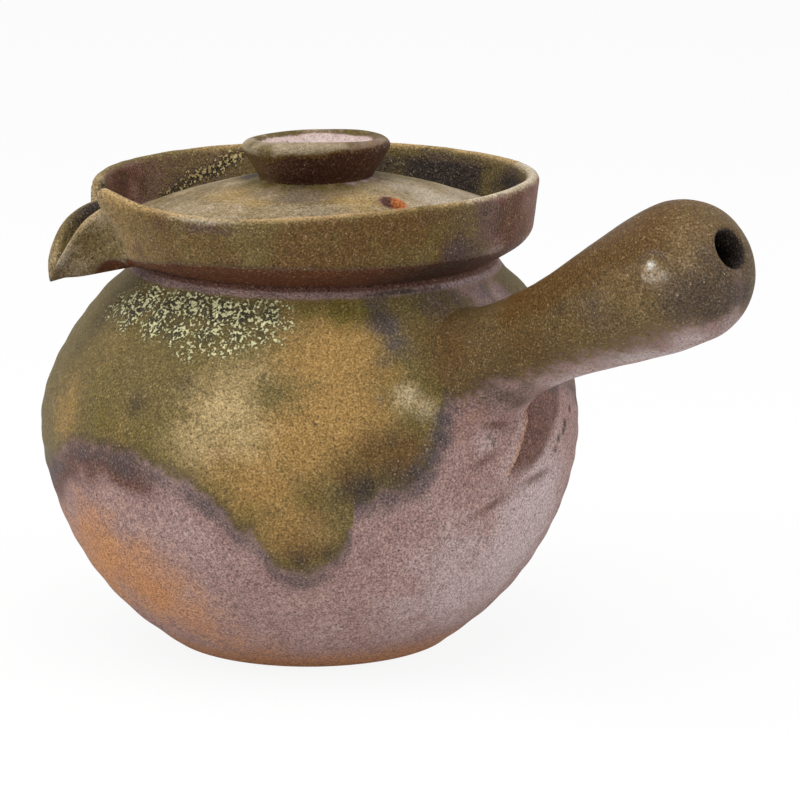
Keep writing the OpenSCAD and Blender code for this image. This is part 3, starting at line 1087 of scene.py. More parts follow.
COLLAR_INSIDE: Ring = {
    Mark.ASH: (
        (-100, 1), (-138, 0.5), (-148, 0.15), (-164, 0.25), (-177, 0.55), (165, 0.7), (120, 1), (0, 1),
    ),
    Mark.IRON_AND_SHADE: (
        (-120, 0.2), (-135, 0.5), (-150, 0.75), (-164, 0.7), (-178, 0.3), (165, 0.1), (120, 0.1), (0, 0.1),
    ),
    # Painted shade with some soot deep in the gallery, darkest towards the right and back
    Mark.SOOT_AND_SHADE: (
        (0, 0.4), (20, 0.7), (100, 0.9), (130, 0.5), (150, 0.2), (182, 0.12), (240, 0.15), (320, 0.2),
    ),
    Mark.MOSS: ((20, 0.2), (60, 0.3), (95, 0.55), (120, 0.4), (160, 0.1), (260, 0.1)),
    Mark.HALO: (
        (150, 0.4), (178, 0.42), (200, 0.32), (225, 0.2), (260, 0.1), (0, 0.45), (60, 0.6), (90, 0.6),
        (120, 0.3),
    ),
    Mark.TAN: ((160, 0.3), (210, 0.05), (300, 0.3), (0, 0.1), (60, 0), (130, 0.1)),
}
UNMARKED: Line = ((0.0, 0.0),)


@dataclass
class Collar(ClayPiece):
    """The collar on the neck, with the lid's ledge in it and the pouring lip pinched out of its rim."""

    low_z: float = field(default_factory=lambda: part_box("gallery_collar")[0].z / MM)
    rim_z: float = field(default_factory=lambda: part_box("gallery_collar")[1].z / MM)
    rim: float = field(default_factory=lambda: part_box("gallery_collar")[1].x / MM)
    ledge_z: float = field(default_factory=lambda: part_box("lid_dome")[0].z / MM)
    neck: float = 46.4
    mouth: float = 43.0
    flare: float = 55.3
    flare_h: float = 6.0
    thick: float = 3.5
    seat: float = 52.0
    lip_azimuth: float = -118.0
    lip_len: float = 13.0
    lip_half: float = 9.5
    lip_pinch: float = 3.7
    lip_root_drop: float = 4.5
    lip_tip_z: float = 100.0
    lip_floor: float = 2.4
    lip_swell: Line = (
        (-1.35, 0), (-1, 1.0), (-0.75, 1.7), (-0.4, 2.0), (-0.15, 1.5), (0, 1.0), (0.15, 0.3), (0.3, 0),
    )
    sag: float = 0.7
    sag_share: float = 0.7
    lip_sag: Swell = Swell(12.0, 1.8, 6.0, 14.0)
    lip_reach: float = 9.2
    soft_h: float = 8.0
    soft_fade: float = 11.0
    ear_from: float = 4.5
    ear_run: float = 5.5
    ear_out: Swell = Swell(11.0, 5.5, 4.0, 10.0)
    ear_rise: Swell = Swell(11.0, 2.6, 4.0, 7.0)
    rim_high: Swell = Swell(20.0, 0.7, 30.0)
    rim_low: Swell = Swell(-76.0, -2.45, 22.0)
    wobble: Wobble = Wobble(0.3, 30.0, 0.1, 6.0)
    patch: float = 9.0
    row: float = 0.8
    steps: int = 620
    crowd: float = 2.2

    def outline(self) -> np.ndarray:
        """Closed outline: up the outside, over the rim, down to the ledge and the mouth.

        Returns:
            Radius and height of each row, in mm.
        """
        knee = (self.flare, self.low_z + self.flare_h)
        side = bend((self.flare - 3.0, knee[1] - 2.0), knee, (self.flare + 0.7, knee[1] + 2.6), 8)
        middle = (self.rim - self.thick / 2.0, self.rim_z - self.thick / 2.0)
        crest = arc(middle, self.thick / 2.0, 5.0, 175.0, 12)
        foot = (self.seat + 0.4, self.ledge_z + 1.4)
        corners = [
            [[self.neck, self.low_z]], side, crest,
            bend(foot, (self.seat, self.ledge_z), (self.seat - 1.4, self.ledge_z), 4),
            [[self.mouth, self.ledge_z], [self.mouth, self.low_z]],
        ]
        rows = even_rows(np.vstack(corners), self.row)
        under = np.linspace((self.mouth, self.low_z), (self.neck, self.low_z), 4)[1:-1]
        return np.vstack([rows, under])

    def pull(self, form: Thrown) -> np.ndarray:
        """How much each vertex of the turned collar follows the lip, from 0 to 1.

        Args:
            form: The turned collar.

        Returns:
            The share for each vertex.
        """
        radius, height = form.outline.T
        top = self.rim_z - self.thick / 2.0
        share = np.clip((height - self.low_z) / (top - self.low_z), 0.0, 1.0) ** 1.05
        inner = np.arange(len(height)) > np.argmax(height)
        wall = 0.3 + 0.7 * np.clip((height - self.ledge_z) / (top - self.ledge_z), 0.0, 1.0)
        ledge = 0.3 * ease((radius - self.mouth - 2.0) / (self.seat - self.mouth - 3.0))
        share = np.where(inner, np.where(height > self.ledge_z + 0.05, wall, ledge), share)
        return np.where(inner & (height < self.ledge_z - 0.05), 0.0, share)[form.row]

    def course(self, part: np.ndarray) -> np.ndarray:
        """The lip's rim seen from above.

        Args:
            part: Share of the way along the rim, 0 at the lip's tip and 1 at its root.

        Returns:
            The distance out along the lip and the distance to its side, for each share.
        """
        grow = np.clip(part / 0.5, 0.0, 1.0)
        spread = np.clip((part - 0.5) / 0.5, 0.0, 1.0)
        lateral = self.lip_pinch * (1.0 - (1.0 - grow) ** 2) + (self.lip_half - self.lip_pinch) * spread**2
        middle = self.rim - self.thick / 2.0
        root = np.sqrt(np.maximum(0.0, middle**2 - lateral**2))
        return np.column_stack([root + self.lip_len * (1.0 - ease(part)), lateral])

    def lip(self, form: Thrown) -> np.ndarray:
        """Moves the turned collar's vertices to the pinched lip, in a frame with the lip along +X.

        Args:
            form: The turned collar.

        Returns:
            The new place of each vertex.
        """
        along = form.turn * self.rim
        side = np.sign(along)
        part = np.clip(np.abs(along) / self.lip_half, 0.0, 1.0)
        inside = (part < 1.0)[:, None]
        course = self.course(part)
        run = unit(self.course(np.clip(part + 1e-3, 0.0, 1.0)) - course)
        fall = np.sqrt(np.maximum(0.0, 1.0 - (1.0 - ease(part)) ** 2))
        root_z = self.rim_z - self.lip_root_drop
        level = self.lip_tip_z + (root_z - self.lip_tip_z) * fall
        past = np.maximum(0.0, np.abs(along) - self.lip_half)
        level = np.where(past > 0.0, self.rim_z - self.lip_root_drop * (1.0 - ease(past / 1.8)), level)

        middle = self.rim - self.thick / 2.0
        flat = np.zeros(len(along))
        plain = turned(1.0, form.turn, flat)
        normal = np.column_stack([run[:, 1], -side * run[:, 0], flat])
        normal[np.abs(along) < 1e-6] = (1.0, 0.0, 0.0)
        normal = np.where(inside, normal, plain)
        target = np.column_stack([course[:, 0], side * course[:, 1], level - self.rim_z])
        move = np.where(inside, target - middle * plain, np.column_stack([flat, flat, level - self.rim_z]))
        offset = np.clip(from_axis(form.points) - middle, -self.thick, self.thick / 2.0)
        moved = form.points + self.pull(form)[:, None] * (move + offset[:, None] * (normal - plain))
        inner = form.row > np.argmax(form.outline[:, 1])
        depth = np.clip((form.points[:, 2] - self.ledge_z) / (self.rim_z - self.ledge_z), 0.0, 1.0)
        moved[:, 0] += self.pull(form) * np.interp(along / self.lip_half, *np.array(self.lip_swell).T)
        moved[:, 2] += self.lip_floor * inner * np.sin(math.pi * depth) * (1.0 - ease(part))
        return moved

    def marks(self, form: Thrown, azimuth: np.ndarray) -> Marks:
        """What the kiln left on the collar, inside and out, with painted shade in the gallery, under the knee
        and round the lip.

        Args:
            form: The collar with its lip.
            azimuth: Azimuth of each vertex on the pot.

        Returns:
            The strength of each mark at each vertex.
        """
        stray = FIRE.at(form.points, self.patch, 3)
        peak = int(np.argmax(form.outline[:, 1]))
        knee = np.array([self.flare, self.low_z + self.flare_h])
        edge = int(np.argmin(apart(form.outline[:peak], knee)))
        # How far past the crest and the knee a place lies, whether inside or under, and how near the lip
        past_crest = (form.row - peak) * self.row
        past_knee = (form.row - edge) * self.row
        inner = ease((past_crest - 0.4) / 2.0)
        crest = bump(past_crest, 1.5)
        under = ease(0.5 - (past_knee - 0.3) / 0.9)
        line = bump(past_knee - 0.9, 0.6)
        lip = bump(azimuth - self.lip_azimuth, 6.0)
        tip = ease((from_axis(form.points) - self.rim) / self.lip_len)
        around = azimuth + 7.0 * stray
        marks = {}
        rings = (COLLAR_OUTSIDE, COLLAR_INSIDE)
        for mark in Mark:
            outside, inside = (round_ring(around, ring.get(mark, UNMARKED)) for ring in rings)
            patchy = (1.0 - inner) * outside + inner * inside
            marks[mark] = patchy * (1.0 - under) * (1.0 + (0.2 if mark is Mark.ASH else 0.6) * stray)
        back = np.mod(azimuth, 360.0) - 165.0
        scab = bump(past_crest - 7.2 - 0.31 * back - stray, 1.7) * bump(back, 13.0)
        marks[Mark.IRON_AND_SHADE] = np.maximum(marks[Mark.IRON_AND_SHADE] * (1.0 - 0.7 * crest), under)
        # Soot low on the inside, under the knee and in the lip's channel: painted shade in the channel and
        # under the knee, painted shade with some soot deep in the gallery
        upper = inner * (1.0 - ease((past_crest - 3.0 - stray) / 2.5))
        marks[Mark.SOOT_AND_SHADE] = marks[Mark.SOOT_AND_SHADE] * (1.0 - 0.75 * upper)
        channel = bump(azimuth - self.lip_azimuth + 4.0, 8.0) * ease(past_crest + 0.6)
        below = under * (0.1 + 0.5 * bump(azimuth + 12.0, 16.0))
        strengthen(marks, Mark.SOOT_AND_SHADE, below, channel * (0.95 - 0.8 * tip))
        # Pale ash on the crest, apart from the lip's far side and a stretch at the back
        far = bump(azimuth - self.lip_azimuth + 6.0, 5.0)
        crest_tan = crest * (1.0 - 0.85 * far) * (1.0 - 0.7 * bump(back - 32.0, 24.0))
        strengthen(marks, Mark.ASH, 0.9 * crest, lip * inner)
        strengthen(marks, Mark.TAN, crest_tan * (0.85 + 0.3 * stray))
        # Bare clay by the handle, a grey ridge, drops where the ash ran off, and painted shade on the lip's
        # outside towards its tip
        right = ease((azimuth + 15.0) / 12.0) * (np.abs(azimuth) < 60.0)
        marks[Mark.PALE_AND_LIGHT] = np.maximum(marks[Mark.PALE_AND_LIGHT] * (1.0 - crest), right * bump(past_knee - 1.2, 1.1))
        shed = bump(azimuth + 77.0, 9.0) * (1.0 - inner)
        beak_shade = tip * (1.0 - inner) * (1.0 - crest)
        marks[Mark.HALO] = marks[Mark.HALO] * (1.0 - crest)
        ridge = 0.5 * line * (1.0 - right)
        strengthen(marks, Mark.HALO, ridge, 0.6 * shed * bump(past_crest + 4.2, 1.6), 0.55 * beak_shade)
        marks[Mark.DROP_AND_HIGHLIGHT] = marks[Mark.DROP_AND_HIGHLIGHT] * (1.0 - inner)
        strengthen(marks, Mark.DROP_AND_HIGHLIGHT, 0.55 * crest * right, 0.42 * shed * bump(past_crest + 1.6, 1.1))
        marks[Mark.CRUST] = 0.9 * inner * scab
        return marks

    def slacken(self, form: Thrown, azimuth: np.ndarray) -> None:
        """Lets the wet collar go: its wall sags, its rim waves and it sweeps out and up beside the lip.

        Args:
            form: The collar with its lip, in the lip's frame.
            azimuth: Azimuth of each vertex on the pot.
        """
        from_lip = form.azimuth
        share = (form.outline[form.row, 1] - self.low_z) / (self.rim_z - self.low_z)
        outer = form.row < np.argmax(form.outline[:, 1])
        slump = outer * np.sin(math.pi * np.clip(share / self.sag_share, 0.0, 1.0))
        form.points[:, 2] -= slump * (self.sag + self.lip_sag.at(from_lip))
        soft = ease((form.points[:, 2] - self.low_z - self.soft_h) / self.soft_fade)
        ear = soft * ease((from_lip - self.ear_from) / self.ear_run)
        wave = self.rim_high.at(azimuth) + self.rim_low.at(azimuth)
        form.points[:, 2] += soft * wave * (np.abs(from_lip) > self.lip_reach)
        form.points[:, 2] += ear * self.ear_rise.at(from_lip)
        form.points[:, 0] += ear * self.ear_out.at(from_lip)

    def build(self) -> bpy.types.Object:
        """Throws the collar, pulls the lip and fires it.

        Returns:
            The collar's object.
        """
        form = Thrown(self.outline(), self.steps, closed=True)
        reach = from_axis(form.points)
        form.turn = math.pi * np.sinh(self.crowd * form.turn / math.pi) / math.sinh(self.crowd)
        form.points = turned(reach, form.turn, form.points[:, 2])
        out = form.outward()
        form.points = self.lip(form)
        azimuth = wrapped(form.azimuth + self.lip_azimuth)
        self.slacken(form, azimuth)
        relief = self.wobble.at(form.points) * ease((form.points[:, 2] - self.low_z) / 2.5)
        form.points += relief[:, None] * out
        marks = self.marks(form, azimuth)
        ahead = compass(self.lip_azimuth)
        form.points[:, :2] = form.points[:, :2] @ np.array([ahead, (-ahead[1], ahead[0])])
        form.points = LEAN.shifted(form.points)
        return self.settle(form.piece(self.name, marks))


HANDLE_FIRE: Fire = {
    Mark.GOLD: (
        Spot(-100, 112, 8, 0.4), Spot(-96, 128, 7, 0.4), Spot(-60, 146, 9, 0.4), Spot(60, 120, 12, 0.5),
    ),
    Mark.TAN: (
        Spot(-58, 147, 6, 0.35), Spot(-35, 150, 6, 0.4), Spot(-90, 146, 4, 0.45), Spot(-93, 122, 6, 0.35),
        Spot(-104, 132, 6, 0.35), Spot(-80, 133, 5, 0.3), Spot(-91, 139.2, 2.8, 1.0), Spot(40, 146, 8, 0.5),
    ),
    Mark.MOSS: (
        Spot(-104, 128, 5, 0.35), Spot(-112, 136, 5, 0.35), Spot(-120, 112, 6, 0.3), Spot(30, 100, 10, 0.5),
    ),
    Mark.HALO: (
        Spot(-96, 118, 6, 0.4), Spot(-122, 143.5, 6, 0.65), Spot(-158, 147, 7, 0.6), Spot(-96, 149, 3, 0.4),
        Spot(-108, 124, 5, 0.35), Spot(150, 146, 8, 0.5),
    ),
    Mark.DROP_AND_HIGHLIGHT: (
        # The first is a painted highlight on the blister; the other three pale its lower side
        Spot(-83.5, 140.3, 1, 0.9), Spot(-89.5, 137.4, 1.3, 0.36), Spot(-92, 139.3, 1.3, 0.42),
        Spot(-93.5, 141.4, 1.3, 0.36),
    ),
    Mark.SOOT_AND_SHADE: (
        Spot(-80, 107, 2, 0.45), Spot(-140, 145, 5, 0.45), Spot(180, 148, 6, 0.5), Spot(-84, 118, 3, 0.25),
    ),
}


@dataclass
class Handle(ClayPiece):
    """The hollow thrown handle, with the clay that was smeared from its root onto the belly."""

    belly: Belly | None = None
    meet: float = 70.0
    reach: float = 151.5
    waist: float = 12.6
    waist_len: float = 17.0
    bulb: float = 17.4
    bulb_end: float = 16.0
    hole: float = 4.7
    hole_len: float = 6.0
    hollow: float = 9.0
    toe: float = 16.0
    toe_smear: float = 8.5
    run: float = 9.0
    run_smear: float = 8.0
    tube: float = 10.0
    root_rows: int = 26
    neck_rows: int = 22
    neck_s: float = 106.0
    row: float = 0.9
    inner_row: float = 3.0
    steps: int = 300
    corner_out: float = 0.6
    toe_sink: float = 0.7
    hem: float = 2.5
    hem_sink: float = 3.0
    landings: tuple[float, float] = (40.0, 90.0)
    halvings: int = 30
    sag: Swell = Swell(114.0, 0.75, 12.0)
    wobble: Wobble = Wobble(0.45, 26.0, 0.14, 7.0)
    patch: float = 8.0
    blister: Spot = Spot(-87.0, 139.9, 2.6, 1.4)
    blister_moat: float = 5.0
    blister_shade_ring: float = 4.2
    blister_shade_side: Spot = Spot(-80.0, 140.0, 5.0, 0.6)
    pit: Spot = Spot(-155.0, 102.0, 1.4, 0.9)

    def __post_init__(self) -> None:
        """Reads the handle's axis from the hole in its end."""
        hole = next(mount for mount in frame["record"]["mounts"] if mount["name"] == "handle_end_hole")
        self.along = np.array(hole["axis"], float)
        self.up = np.array([-self.along[2], 0.0, self.along[0]])
        self.side = np.array([0.0, 1.0, 0.0])
        start = np.array(hole["pos_m"], float) / MM
        self.foot = start - self.along * start[0] / self.along[0]

    @property
    def tail_row(self) -> int:
        """First row of the round end."""
        return 1 + self.root_rows + self.neck_rows

    def radius(self, place: np.ndarray) -> np.ndarray:
        """Outer radius at a place along the axis.

        Args:
            place: Places along the axis, in mm.

        Returns:
            The radius at each place, in mm.
        """
        bulb_s = self.reach - self.bulb_end
        waist_s = self.meet + self.waist_len
        grip = self.waist + (self.bulb - self.waist) * ease((place - waist_s) / (bulb_s - waist_s))
        end = self.bulb * np.sqrt(np.maximum(0.0, 1.0 - ((place - bulb_s) / self.bulb_end) ** 2))
        return np.where(place < bulb_s, grip, end)

    def end(self) -> np.ndarray:
        """Outline (radius, place along the axis) from the neck over the round end into the hollow.

        Returns:
            The rows, close on the skin and further apart in the hollow.
        """
        bulb_s = self.reach - self.bulb_end
        grip_s = np.linspace(self.neck_s, bulb_s, 40)
        grip = np.column_stack([self.radius(grip_s), grip_s])
        last = math.acos((self.hole + 1.6) / self.bulb)
        angle = np.linspace(0.0, last, 24)[1:]
        cap = np.column_stack([self.bulb * np.cos(angle), bulb_s + self.bulb_end * np.sin(angle)])
        edge = bend(cap[-1], (self.hole, cap[-1, 1] + 0.5), (self.hole, cap[-1, 1] - 1.4), 5)[1:]
        back = edge[-1, 1] - self.hole_len
        skin = even_rows(np.vstack([grip, cap, edge]), self.row)
        shoulder = [[self.hole, back], [self.hollow, back - 5.0]]
        bore = [[self.hollow, self.neck_s], [0.0, self.neck_s - 6.0]]
        return np.vstack([skin, even_rows(np.array(shoulder + bore), self.inner_row)])

    def at(self, place: np.ndarray, radius: np.ndarray, turn: np.ndarray) -> np.ndarray:
        """Points by their place along the axis, radius and turn from the top towards +Y."""
        across = np.cos(turn)[:, None] * self.up + np.sin(turn)[:, None] * self.side
        return self.foot + place[:, None] * self.along + radius[:, None] * across

    def place(self, azimuth: float, reach: float) -> np.ndarray:
        """The point of the grip at a turn from the top and a place along the axis."""
        where = np.array([reach])
        return self.at(where, self.radius(where), np.radians([azimuth]))[0]

    def landing(self, radius: np.ndarray, turn: np.ndarray) -> np.ndarray:
        """Place along the axis where a line at this radius and turn comes out of the belly.

        Args:
            radius: Distance of each line from the axis.
            turn: Turn of each line.

        Returns:
            The place for each line.
        """
        low, high = (np.full(len(turn), end) for end in self.landings)
        for _ in range(self.halvings):
            middle = (low + high) / 2.0
            spot = self.at(middle, radius, turn)
            within = from_axis(spot) < self.belly.radius(spot[:, 2])
            low, high = np.where(within, middle, low), np.where(within, high, middle)
        return low

    def smear(self, turn: np.ndarray) -> np.ndarray:
        """How far the root's clay was dragged out, most on the side below the lip."""
        return bump(wrapped(np.degrees(turn) + 100.0), 48.0)

    def toe_radius(self, turn: np.ndarray) -> np.ndarray:
        """Radius from the axis at which the smear runs out on the belly."""
        return self.toe + self.toe_smear * self.smear(turn)

    def corner(self, turn: np.ndarray) -> tuple[np.ndarray, np.ndarray]:
        """Place along the axis and radius where the waist would meet the belly without the smear."""
        radius = np.full(len(turn), self.waist + self.corner_out)
        return self.landing(radius, turn), radius

    def grip_start(self, turn: np.ndarray) -> np.ndarray:
        """Place along the axis where the smear runs out on the grip."""
        return self.corner(turn)[0] + self.run + self.run_smear * self.smear(turn)

    def root(self, share: np.ndarray, turn: np.ndarray) -> np.ndarray:
        """Points of the smeared root.

        Args:
            share: 0 at the belly, 1 where the root runs into the grip.
            turn: Turn round the axis.

        Returns:
            The points, on a curve that leaves the belly flat and runs along the grip.
        """
        toe = self.toe_radius(turn)
        grip_s = self.grip_start(turn)
        first = self.at(self.landing(toe, turn) - self.toe_sink, toe, turn)
        second = self.at(*self.corner(turn), turn)
        third = self.at(grip_s, self.radius(grip_s), turn)
        return drawn(share[:, None], first, second, third)

    def marks(self, points: np.ndarray, place: np.ndarray, turn: np.ndarray, root: Marks) -> Marks:
        """What the kiln left, with painted shade round the blister and a painted highlight on it: the belly's
        marks at the root, the handle's own further out.

        Args:
            points: Places on the handle, in mm.
            place: Their place along the axis, in mm.
            turn: Their turn round the axis.
            root: The belly's marks at these places.

        Returns:
            The strength of each mark at each place.
        """
        stray = FIRE.at(points, self.patch, 3)
        fine = FIRE.at(points, 3.0, 2)
        angle = np.degrees(np.abs(turn)) + 5.0 * stray + 3.0 * fine
        edge = 139.0 + 3.0 * ease((place - 95.0) / 15.0) + 36.0 * ease((place - 141.0) / 5.0)
        below = (angle - edge) * 0.27
        top = ease((92.0 + 10.0 * stray - angle) / 34.0) * (1.0 - 0.55 * ease((place - 138.0) / 9.0))
        nose = ease((place - self.reach + 7.0) / 5.0)
        grip = self.fired(points, HANDLE_FIRE, stray)
        grip[Mark.ASH] = ease(0.5 - below / 24.0)
        grip[Mark.IRON_AND_SHADE] = np.maximum(0.9 * top, 0.45 * ease((104.0 - place) / 10.0)) * grip[Mark.ASH]
        grip[Mark.HALO] = np.maximum(grip[Mark.HALO], 0.24 * bump(below - 0.4, 4.6)) + 0.15 * nose
        grip[Mark.PALE_AND_LIGHT] = 0.6 * (1.0 - grip[Mark.ASH]) + 0.2 * stray
        strengthen(grip, Mark.SOOT_AND_SHADE, 0.25 * nose)
        # Painted shade: a dark ring round the blister on its upper side
        ring = bump(self.away(points, self.blister) - self.blister_shade_ring, 1.0)
        strengthen(grip, Mark.HALO, ring * self.spots(points, [self.blister_shade_side], np.zeros(len(points))))
        share = ease((place - 79.0 + 2.0 * stray) / 10.0)
        return {mark: (1.0 - share) * root[mark] + share * grip[mark] for mark in Mark}

    def relief(self, points: np.ndarray, place: np.ndarray, turn: np.ndarray) -> np.ndarray:
        """How far the grip stands out at each place: wobble, the blister in its moat, the pit and the sag.

        Args:
            points: Places on the handle, in mm.
            place: Their place along the axis, in mm.
            turn: Their turn round the axis.

        Returns:
            The distance at each place, in mm.
        """
        away = self.away(points, self.blister)
        stand = self.wobble.at(points) + self.blister.strength * bump(away, self.blister.radius)
        stand -= 0.5 * bump(away - self.blister_moat, 1.2)
        stand -= self.pit.strength * bump(self.away(points, self.pit), self.pit.radius)
        underside = ease((np.degrees(np.abs(turn)) - 125.0) / 40.0)
        return stand + self.sag.at(place) * underside

    def laid(self, form: Thrown, share: np.ndarray, end: np.ndarray) -> np.ndarray:
        """Lays the rows of a plain tube along the handle.

        Args:
            form: The tube, whose rows run from the hem in the belly's wall to the middle of the hollow.
            share: Share of the way along the root for each vertex.
            end: Outline of the round end and the hollow.

        Returns:
            The place of each vertex.
        """
        turn, row = form.turn, form.row
        points = self.root(share, turn)
        sunk = row == 0
        hem = self.toe_radius(turn) + self.hem
        points[sunk] = self.at(self.landing(hem, turn) - self.hem_sink, hem, turn)[sunk]
        grip_s = self.grip_start(turn)
        step = np.clip((row - self.root_rows - 1) / self.neck_rows, 0.0, 1.0)
        neck_s = grip_s + (self.neck_s - grip_s) * step
        neck = (row > self.root_rows + 1) & (row < self.tail_row)
        points[neck] = self.at(neck_s, self.radius(neck_s), turn)[neck]
        tail = row >= self.tail_row
        radius, place = end[np.maximum(row - self.tail_row, 0)].T
        points[tail] = self.at(place, radius, turn)[tail]
        return points

    def build(self) -> bpy.types.Object:
        """Throws the handle, smears its root and fires it.

        Returns:
            The handle's object.
        """
        end = self.end()
        rows = self.tail_row + len(end)
        straight = np.column_stack([np.full(rows, self.tube), np.arange(rows, dtype=float)])
        straight[-1, 0] = 0.0
        form = Thrown(straight, self.steps)
        share = np.clip((form.row - 1) / self.root_rows, 0.0, 1.0)
        points = self.laid(form, share, end)
        past_nose = form.row - self.tail_row - np.argmax(end[:, 1])
        along = (points - self.foot) @ self.along
        out = unit(points - self.foot - along[:, None] * self.along)
        radial = unit(points * (1.0, 1.0, 0.0))
        fired = self.belly.marks(points)
        marks = self.marks(points, along, form.turn, fired)
        # Painted shade: the bore past the hole's rim takes the soot colour almost fully
        marks[Mark.SOOT_AND_SHADE] = np.where(past_nose > 0, 0.95, marks[Mark.SOOT_AND_SHADE])
        relief = self.relief(points, along, form.turn) * (past_nose < 0) * ease(share * 1.2 - 0.1)
        swell = self.belly.relief(points, fired) * (1.0 - share) ** 2
        form.points = points + relief[:, None] * out + swell[:, None] * radial
        return self.settle(form.piece(self.name, marks))


LID_FIRE: Fire = {
    Mark.GOLD: (
        Spot(-90, 28, 5, 0.9), Spot(-108, 26.6, 5, 0.8), Spot(-26, 27, 4.5, 0.95), Spot(-15, 25, 4, 0.8),
        Spot(-79, 27.7, 3, 0.7), Spot(-6, 38, 6, 0.6), Spot(-60, 42, 8, 0.5), Spot(150, 30, 14, 0.7),
    ),
    Mark.TAN: (
        Spot(-111, 33, 8, 0.35), Spot(-119, 27, 7, 0.35), Spot(-129, 38, 8, 0.4), Spot(-138, 22, 6, 0.4),
        Spot(20, 31, 9, 0.9), Spot(24, 36, 8, 0.9), Spot(17, 25, 6, 0.85), Spot(2, 34, 6, 0.7),
        Spot(48, 40, 8, 0.8), Spot(-50, 40, 7, 0.7), Spot(-85, 40, 7, 0.6), Spot(110, 34, 10, 0.6),
        Spot(190, 34, 10, 0.6),
    ),
    Mark.MOSS: (
        Spot(-118, 17, 3, 0.8), Spot(-95, 16.5, 3, 0.9), Spot(-72, 16.5, 3, 0.9), Spot(-48, 16.5, 3, 0.9),
        Spot(-26, 16.5, 3, 0.7), Spot(-5, 22, 3, 0.5), Spot(10, 27, 4, 0.4), Spot(-140, 18, 3, 0.6),
        Spot(70, 24, 6, 0.6), Spot(160, 22, 7, 0.5),
    ),
    Mark.HALO: (
        Spot(-84, 21, 4, 0.5), Spot(-58, 22.5, 5.5, 0.58), Spot(-32, 20.5, 3.5, 0.5), Spot(-68, 25, 4, 0.5),
        Spot(-46, 24, 4, 0.45), Spot(90, 40, 8, 0.4),
    ),
    Mark.DROP_AND_HIGHLIGHT: (Spot(22, 34, 9, 0.3), Spot(-46, 30, 4, 0.18)),
    # The two spots by the knob's foot at -163 and -150 are painted shade
    Mark.SOOT_AND_SHADE: (
        Spot(-163, 18.4, 2.4, 0.95), Spot(-150, 17, 2, 0.8), Spot(-100, 15.4, 2, 0.4),
        Spot(-60, 15.4, 2, 0.45),
    ),
    Mark.PALE_AND_LIGHT: (Spot(-12, 15.6, 1.6, 0.9), Spot(4, 15.6, 1.6, 0.9), Spot(20, 15.6, 1.5, 0.8)),
}


